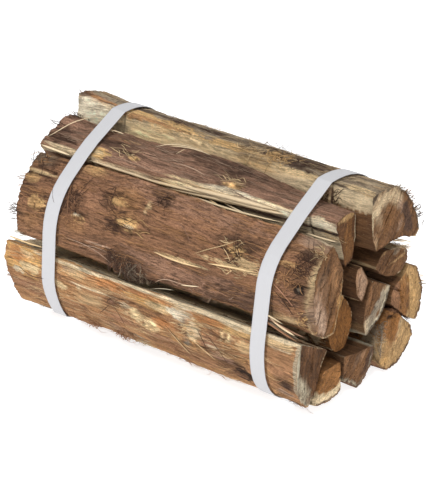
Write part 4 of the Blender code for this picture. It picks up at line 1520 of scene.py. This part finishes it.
class Finish:
    """One material and the nodes that make it."""

    def __init__(self, name):
        self.material = bpy.data.materials.new(name)
        self.material.use_nodes = True
        self.tree = self.material.node_tree
        self.shader = self.tree.nodes["Principled BSDF"]

    def put(self, socket, value):
        """Give a node's input a link or a plain value."""
        if isinstance(value, Socket):
            self.tree.links.new(value.link, socket)
        else:
            socket.default_value = value

    def node(self, kind, settings, *values, out=0, **named):
        """Any node: its settings, then its inputs by order or by name. None leaves one alone."""
        node = self.tree.nodes.new(kind)
        for key, value in settings.items():
            setattr(node, key, value)
        for socket, value in zip(node.inputs, values):
            if value is not None:
                self.put(socket, value)
        for key, value in named.items():
            self.put(node.inputs[key.replace("_", " ")], value)
        return Socket(self, node.outputs[out])

    def vector(self, operation, *values):
        """One Vector Math node."""
        return self.node("ShaderNodeVectorMath", {"operation": operation}, *values)

    def attribute(self, name, out):
        """A value stored on the mesh, as a colour, a vector or an alpha."""
        return self.node("ShaderNodeAttribute", {"attribute_name": name}, out=out)

    def noise(self, place, detail=4.0, roughness=0.6):
        """Fractal noise at a place, one lump per unit."""
        return self.node("ShaderNodeTexNoise", {}, Vector=place, Scale=1.0, Detail=detail,
                         Roughness=roughness)

    def blend(self, first, second, weight):
        """Mix two colours."""
        return self.node("ShaderNodeMix", {"data_type": "RGBA"}, weight, *BEFORE_COLOURS,
                         first, second, out=MIXED_COLOUR)

    def scale(self, value, factor):
        """A vector or a colour times a factor."""
        return self.node("ShaderNodeVectorMath", {"operation": "SCALE"}, value, Scale=factor)

    def bump(self, height, distance, strength=1.0):
        """A Bump node, in metres."""
        return self.node("ShaderNodeBump", {}, Height=height, Distance=distance,
                         Strength=strength)

    def wear(self, **sockets):
        """Set the Principled shader's own sockets."""
        for key, value in sockets.items():
            self.put(self.shader.inputs[key.replace("_", " ")], value)
        return self.material


def bark_finish(name, tan, weave, bold):
    """Fibrous bark or split wood along the grain, over the log's painted colours."""
    finish = Finish(name)
    flow = finish.attribute("flow", VECTOR)
    paint = finish.attribute("paint", COLOUR)
    hair = finish.noise(finish.vector("MULTIPLY", flow, (1.2 / weave, 1.15, 1.0)), 4.0, 0.70)
    strip = finish.noise(finish.vector("MULTIPLY", flow, (0.35 / weave, 0.28, 1.0)), 3.0, 0.6)
    speck = finish.noise(finish.vector("MULTIPLY", flow, (0.50, 0.85, 1.0)), 4.0, 0.74)
    split = (strip - 0.5) * (strip - 0.5)
    groove = (1 - split.step(0.0, 0.0005)) * speck.step(0.42, 0.5)
    coarse = finish.attribute("paint", ALPHA)
    level = 1.07 + coarse * ((1.2 + 1.4 * bold) * (hair - 0.5) + 0.5 * (strip - 0.5)
                             + 2.4 * (speck - 0.5) - 0.55 * groove)
    base = finish.scale(paint, level.at_least(DARKEST))
    lint = hair.step(0.57, 0.66) * speck.step(0.50, 0.62)
    base = finish.blend(base, (*tan, 1), 0.40 * lint)
    rough = 0.80 + 0.18 * speck
    relief = hair + 0.5 * strip - 0.5 * groove + 0.9 * speck
    return finish.wear(Base_Color=base, Roughness=rough, Specular_IOR_Level=0.2,
                       Normal=finish.bump(relief, 0.0018, 1.0))


def end_finish(name, pith, saw, rings):
    """A sawn end: year rings about the pith, saw marks and pores, over the painted colours."""
    finish = Finish(name)
    paint = finish.attribute("paint", COLOUR)
    place = finish.node("ShaderNodeTexCoord", {}, out=OBJECT)
    middle = [MIDDLE.x, MIDDLE.y + pith[0] * MM, MIDDLE.z + pith[1] * MM]
    local = finish.scale(finish.vector("SUBTRACT", place, middle), 1 / MM)
    local = finish.vector("MULTIPLY", local, (0.0, 1.0, 1.0))
    turned = finish.node("ShaderNodeVectorRotate", {"rotation_type": "X_AXIS"}, Vector=local,
                         Angle=-math.radians(saw))
    sway = finish.node("ShaderNodeTexNoise", {}, Vector=local, Scale=0.09, Detail=2.0, out=1)
    bent = finish.vector("ADD", turned, finish.scale(sway, 9.0))
    drag = finish.noise(finish.vector("MULTIPLY", bent, (1.0, 0.085, 0.42)), 5.0, 0.7)
    pore = finish.noise(finish.vector("MULTIPLY", bent, (1.0, 0.34, 0.50)), 5.0, 0.75)
    reach = finish.node("ShaderNodeVectorMath", {"operation": "LENGTH"}, local, out=1)
    swirl = finish.noise(finish.vector("MULTIPLY", local, (0.05, 0.05, 0.05)), 2.0)
    year = finish.node("ShaderNodeTexNoise", {"noise_dimensions": "1D"},
                       W=reach * rings + 3.0 * swirl, Scale=1.0, Detail=2.0)
    late = year.step(0.52, 0.66)
    level = 1.12 + 1.9 * (drag - 0.5) + 2.5 * (pore - 0.5) - 0.18 * late
    level = level - 0.35 * (1 - drag.step(0.32, 0.42))
    base = finish.scale(paint, level.at_least(DARKEST))
    relief = drag + 0.5 * pore - 0.25 * late
    return finish.wear(Base_Color=base, Roughness=0.78 + 0.2 * pore, Specular_IOR_Level=0.2,
                       Normal=finish.bump(relief, 0.0014, 1.0))


def fibre_finish(name):
    """Loose strands, streaked from their own colours."""
    finish = Finish(name)
    place = finish.node("ShaderNodeTexCoord", {}, out=OBJECT)
    streak = finish.noise(finish.vector("MULTIPLY", place, (120.0, 1400.0, 1400.0)), 3.0)
    base = finish.scale(finish.attribute("paint", COLOUR), 0.62 + 0.8 * streak)
    return finish.wear(Base_Color=base, Roughness=0.75 + 0.2 * streak, Specular_IOR_Level=0.2,
                       Normal=finish.bump(streak, 0.0003, 0.5))


def strap_finish(name, sizes):
    """White strap: a fine rolled pattern, faint streaks and a little dirt."""
    finish = Finish(name)
    flow = finish.attribute("flow", VECTOR)
    pitch = math.tau / sizes.emboss
    along, across = (finish.node("ShaderNodeSeparateXYZ", {}, flow, out=axis) for axis in (0, 1))
    pattern = ((along + across) * pitch).sine() * ((along - across) * pitch).sine()
    streak = finish.noise(finish.vector("MULTIPLY", flow, (0.03, 0.9, 1.0)), 3.0)
    dirt = finish.noise(finish.vector("MULTIPLY", flow, (0.12, 0.25, 1.0)), 4.0, 0.65)
    smear = dirt.step(0.60, 0.78)
    shade = tuple(sizes.shade)
    base = finish.blend((*shade, 1), (shade[0] * 0.80, shade[1] * 0.78, shade[2] * 0.75, 1),
                        0.22 * streak + 0.30 * smear)
    return finish.wear(Base_Color=base, Roughness=sizes.roughness + 0.22 * streak,
                       Normal=finish.bump(pattern + 0.8 * streak, 0.00012, 0.6))


# ---------------------------------------------------------------- building the pieces

def build_logs(timbers):
    """The skins of some logs, and the loose fibres on them."""
    sizes = bpy.context.scene.firewood_wood
    colours = palette()
    tan = tuple(colours["tan"])
    for timber in timbers:
        skin = Skin(timber, sizes, colours)
        points, paint = skin.rows()
        flow = np.zeros(points.shape)
        first = len(skin.caps[0])
        last = first + len(skin.side)
        flow[first:last, :, 0] = skin.side[..., 0]
        flow[first:last, :, 1] = skin.flow
        flow[first:last, :, 2] = timber.seed
        short = timber.node.removeprefix("log_")
        mesh = grid_mesh(short + "_wood", points, paint, flow, (first, last - 1))
        finish_piece(short + "_wood", mesh,
                     [bark_finish(short + "_bark", tan, timber.weave, timber.bold),
                      end_finish(short + "_end", timber.pith, timber.saw, 0.75)],
                     timber.slot, timber.node)
        strands = strand_mesh(short + "_splinters", *loose_fibres(skin))
        finish_piece(short + "_splinters", strands, [fibre_finish(short + "_fibre")],
                     timber.slot)


class FIREWOOD_OT_outer_logs(bpy.types.Operator):
    """Build the four large logs on the outside of the bundle"""
    bl_idname = "firewood.outer_logs"
    bl_label = "Outer Logs"

    def execute(self, context):
        build_logs(OUTER)
        return {"FINISHED"}


class FIREWOOD_OT_inner_logs(bpy.types.Operator):
    """Build the smaller logs in the middle, at the bottom and on the right"""
    bl_idname = "firewood.inner_logs"
    bl_label = "Inner Logs"

    def execute(self, context):
        build_logs(INNER)
        return {"FINISHED"}


class FIREWOOD_OT_straps(bpy.types.Operator):
    """Build the two white straps round the logs"""
    bl_idname = "firewood.straps"
    bl_label = "Straps"

    def execute(self, context):
        sizes = context.scene.firewood_straps
        for node in STRAPS:
            mesh = strap_mesh(node, sizes)
            finish_piece(node.removeprefix("strap_") + "_strap", mesh,
                         [strap_finish(node + "_plastic", sizes)], "white_strap", node)
        return {"FINISHED"}


def strap_mesh(node, sizes):
    """A thin band with rounded edges, following the CAD strap's outside."""
    shape = bmesh.new()
    shape.from_mesh(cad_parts[node].data)
    place = Matrix.Scale(1 / MM, 4) @ Matrix.Translation(-MIDDLE)
    bmesh.ops.transform(shape, matrix=place, verts=shape.verts)
    tree = BVHTree.FromBMesh(shape)
    shape.free()
    angles = np.linspace(0, math.tau, STRAP_POINTS, endpoint=False)
    radius = []
    for angle in angles:
        y, z = STRAP_REACH * math.cos(angle), STRAP_REACH * math.sin(angle)
        start = Vector((strap_x(node, y, z), y, z))
        hit = tree.ray_cast(start, Vector((strap_x(node, 0, 0), 0, 0)) - start)[0]
        radius.append(math.hypot(hit.y, hit.z))
    radius = np.array(radius)
    y, z = radius * np.cos(angles), radius * np.sin(angles)
    step = np.hypot(np.roll(y, -1) - y, np.roll(z, -1) - z)
    arc = np.concatenate(([0], np.cumsum(step)[:-1]))
    tangent = np.stack((np.roll(y, -2) - np.roll(y, 2), np.roll(z, -2) - np.roll(z, 2)), 1)
    tangent /= np.linalg.norm(tangent, axis=1, keepdims=True)
    out = np.stack((tangent[:, 1], -tangent[:, 0]), 1)
    half, thick, bevel = STRAP_HALF, sizes.thickness, STRAP_BEVEL
    profile = [(-half, -thick + bevel), (-half, -bevel), (-half + bevel, 0.0)]
    profile += [(across, 0.0) for across in np.linspace(-half + 2, half - 2, 7)]
    profile += [(half - bevel, 0.0), (half, -bevel), (half, -thick + bevel),
                (half - bevel, -thick), (-half + bevel, -thick)]
    rows, flow = [], []
    for across, depth in profile + profile[:1]:
        row = np.empty((len(angles), 3))
        row[:, 1] = y + out[:, 0] * depth
        row[:, 2] = z + out[:, 1] * depth
        row[:, 0] = strap_x(node, y, z) + across
        rows.append(row)
        flow.append(np.stack((arc, np.full(len(arc), across), arc * 0), 1))
    points = np.clip(np.array(rows), BOX_LOW - BOX_MARGIN, BOX_HIGH + BOX_MARGIN)
    paint = np.full(points.shape, 0.8)
    return grid_mesh(node + "_band", points, paint, np.array(flow))


class FIREWOOD_OT_stage(bpy.types.Operator):
    """Set up the pale floor, the soft lights and the camera"""
    bl_idname = "firewood.stage"
    bl_label = "Stage"

    def execute(self, context):
        scene = context.scene
        sizes = scene.firewood_stage
        shape = bmesh.new()
        bmesh.ops.create_grid(shape, x_segments=2, y_segments=2, size=FLOOR_SIZE)
        mesh = bpy.data.meshes.new("floor")
        shape.to_mesh(mesh)
        shape.free()
        floor = bpy.data.objects.new("floor", mesh)
        scene.collection.objects.link(floor)
        finish = Finish("floor")
        mesh.materials.append(finish.wear(
            Base_Color=(*sizes.floor_shade, 1), Roughness=0.9, Emission_Strength=0.82,
            Emission_Color=WHITE))

        azimuth, elevation = math.radians(CAMERA_AZIMUTH), math.radians(CAMERA_ELEVATION)
        back = Vector((math.sin(azimuth) * math.cos(elevation),
                       -math.cos(azimuth) * math.cos(elevation), math.sin(elevation)))
        right = Vector((math.cos(azimuth), math.sin(azimuth), 0))
        up = back.cross(right)
        aim = MIDDLE + right * 0.0004 + up * 0.0008
        eye = aim + back * sizes.distance
        lens = bpy.data.cameras.new("camera")
        lens.sensor_width, lens.lens = 36, sizes.lens
        camera = bpy.data.objects.new("camera", lens)
        camera.matrix_world = Matrix(
            ((right.x, up.x, back.x, eye.x), (right.y, up.y, back.y, eye.y),
             (right.z, up.z, back.z, eye.z), (0, 0, 0, 1)))
        scene.collection.objects.link(camera)
        scene.camera = camera

        world = bpy.data.worlds.new("studio")
        scene.world = world
        world.use_nodes = True
        sky = world.node_tree.nodes["Background"]
        sky.inputs["Color"].default_value = WHITE
        sky.inputs["Strength"].default_value = sizes.sky
        self.add_sun("key", Vector(KEY_DIRECTION), sizes.key, KEY_SOFTNESS)
        scene.view_settings.view_transform = "Standard"
        return {"FINISHED"}

    def add_sun(self, name, towards, strength, softness):
        """A soft distant light from a direction."""
        light = bpy.data.lights.new(name, "SUN")
        light.energy, light.angle = strength, math.radians(softness)
        lamp = bpy.data.objects.new(name, light)
        lamp.rotation_mode = "QUATERNION"
        lamp.rotation_quaternion = towards.to_track_quat("Z", "Y")
        bpy.context.scene.collection.objects.link(lamp)


class FIREWOOD_PT_panel(bpy.types.Panel):
    """The bundle's sizes, colours and build steps"""
    bl_label = "Firewood Bundle"
    bl_idname = "FIREWOOD_PT_panel"
    bl_space_type = "VIEW_3D"
    bl_region_type = "UI"
    bl_category = "Firewood"

    def draw(self, context):
        for name, group in GROUPS.items():
            box = self.layout.box()
            for key in group.__annotations__:
                box.prop(getattr(context.scene, name), key)
        for operator in OPERATORS:
            self.layout.operator(operator.bl_idname)


GROUPS = {"firewood_colours": WoodColours, "firewood_wood": WoodSizes,
          "firewood_straps": StrapSizes, "firewood_stage": StageSizes}
OPERATORS = (FIREWOOD_OT_outer_logs, FIREWOOD_OT_inner_logs, FIREWOOD_OT_straps,
             FIREWOOD_OT_stage)


def register():
    """Add the classes, and each group of settings to the scene."""
    for item in (*GROUPS.values(), *OPERATORS, FIREWOOD_PT_panel):
        bpy.utils.register_class(item)
    for name, group in GROUPS.items():
        setattr(bpy.types.Scene, name, PointerProperty(type=group))


def unregister():
    """Take everything that register added away again."""
    for name in GROUPS:
        delattr(bpy.types.Scene, name)
    for item in reversed((*GROUPS.values(), *OPERATORS, FIREWOOD_PT_panel)):
        bpy.utils.unregister_class(item)


def main():
    """Build every piece in order."""
    register()
    bpy.ops.firewood.outer_logs()
    bpy.ops.firewood.inner_logs()
    bpy.ops.firewood.straps()
    bpy.ops.firewood.stage()


if __name__ == "__main__":
    main()
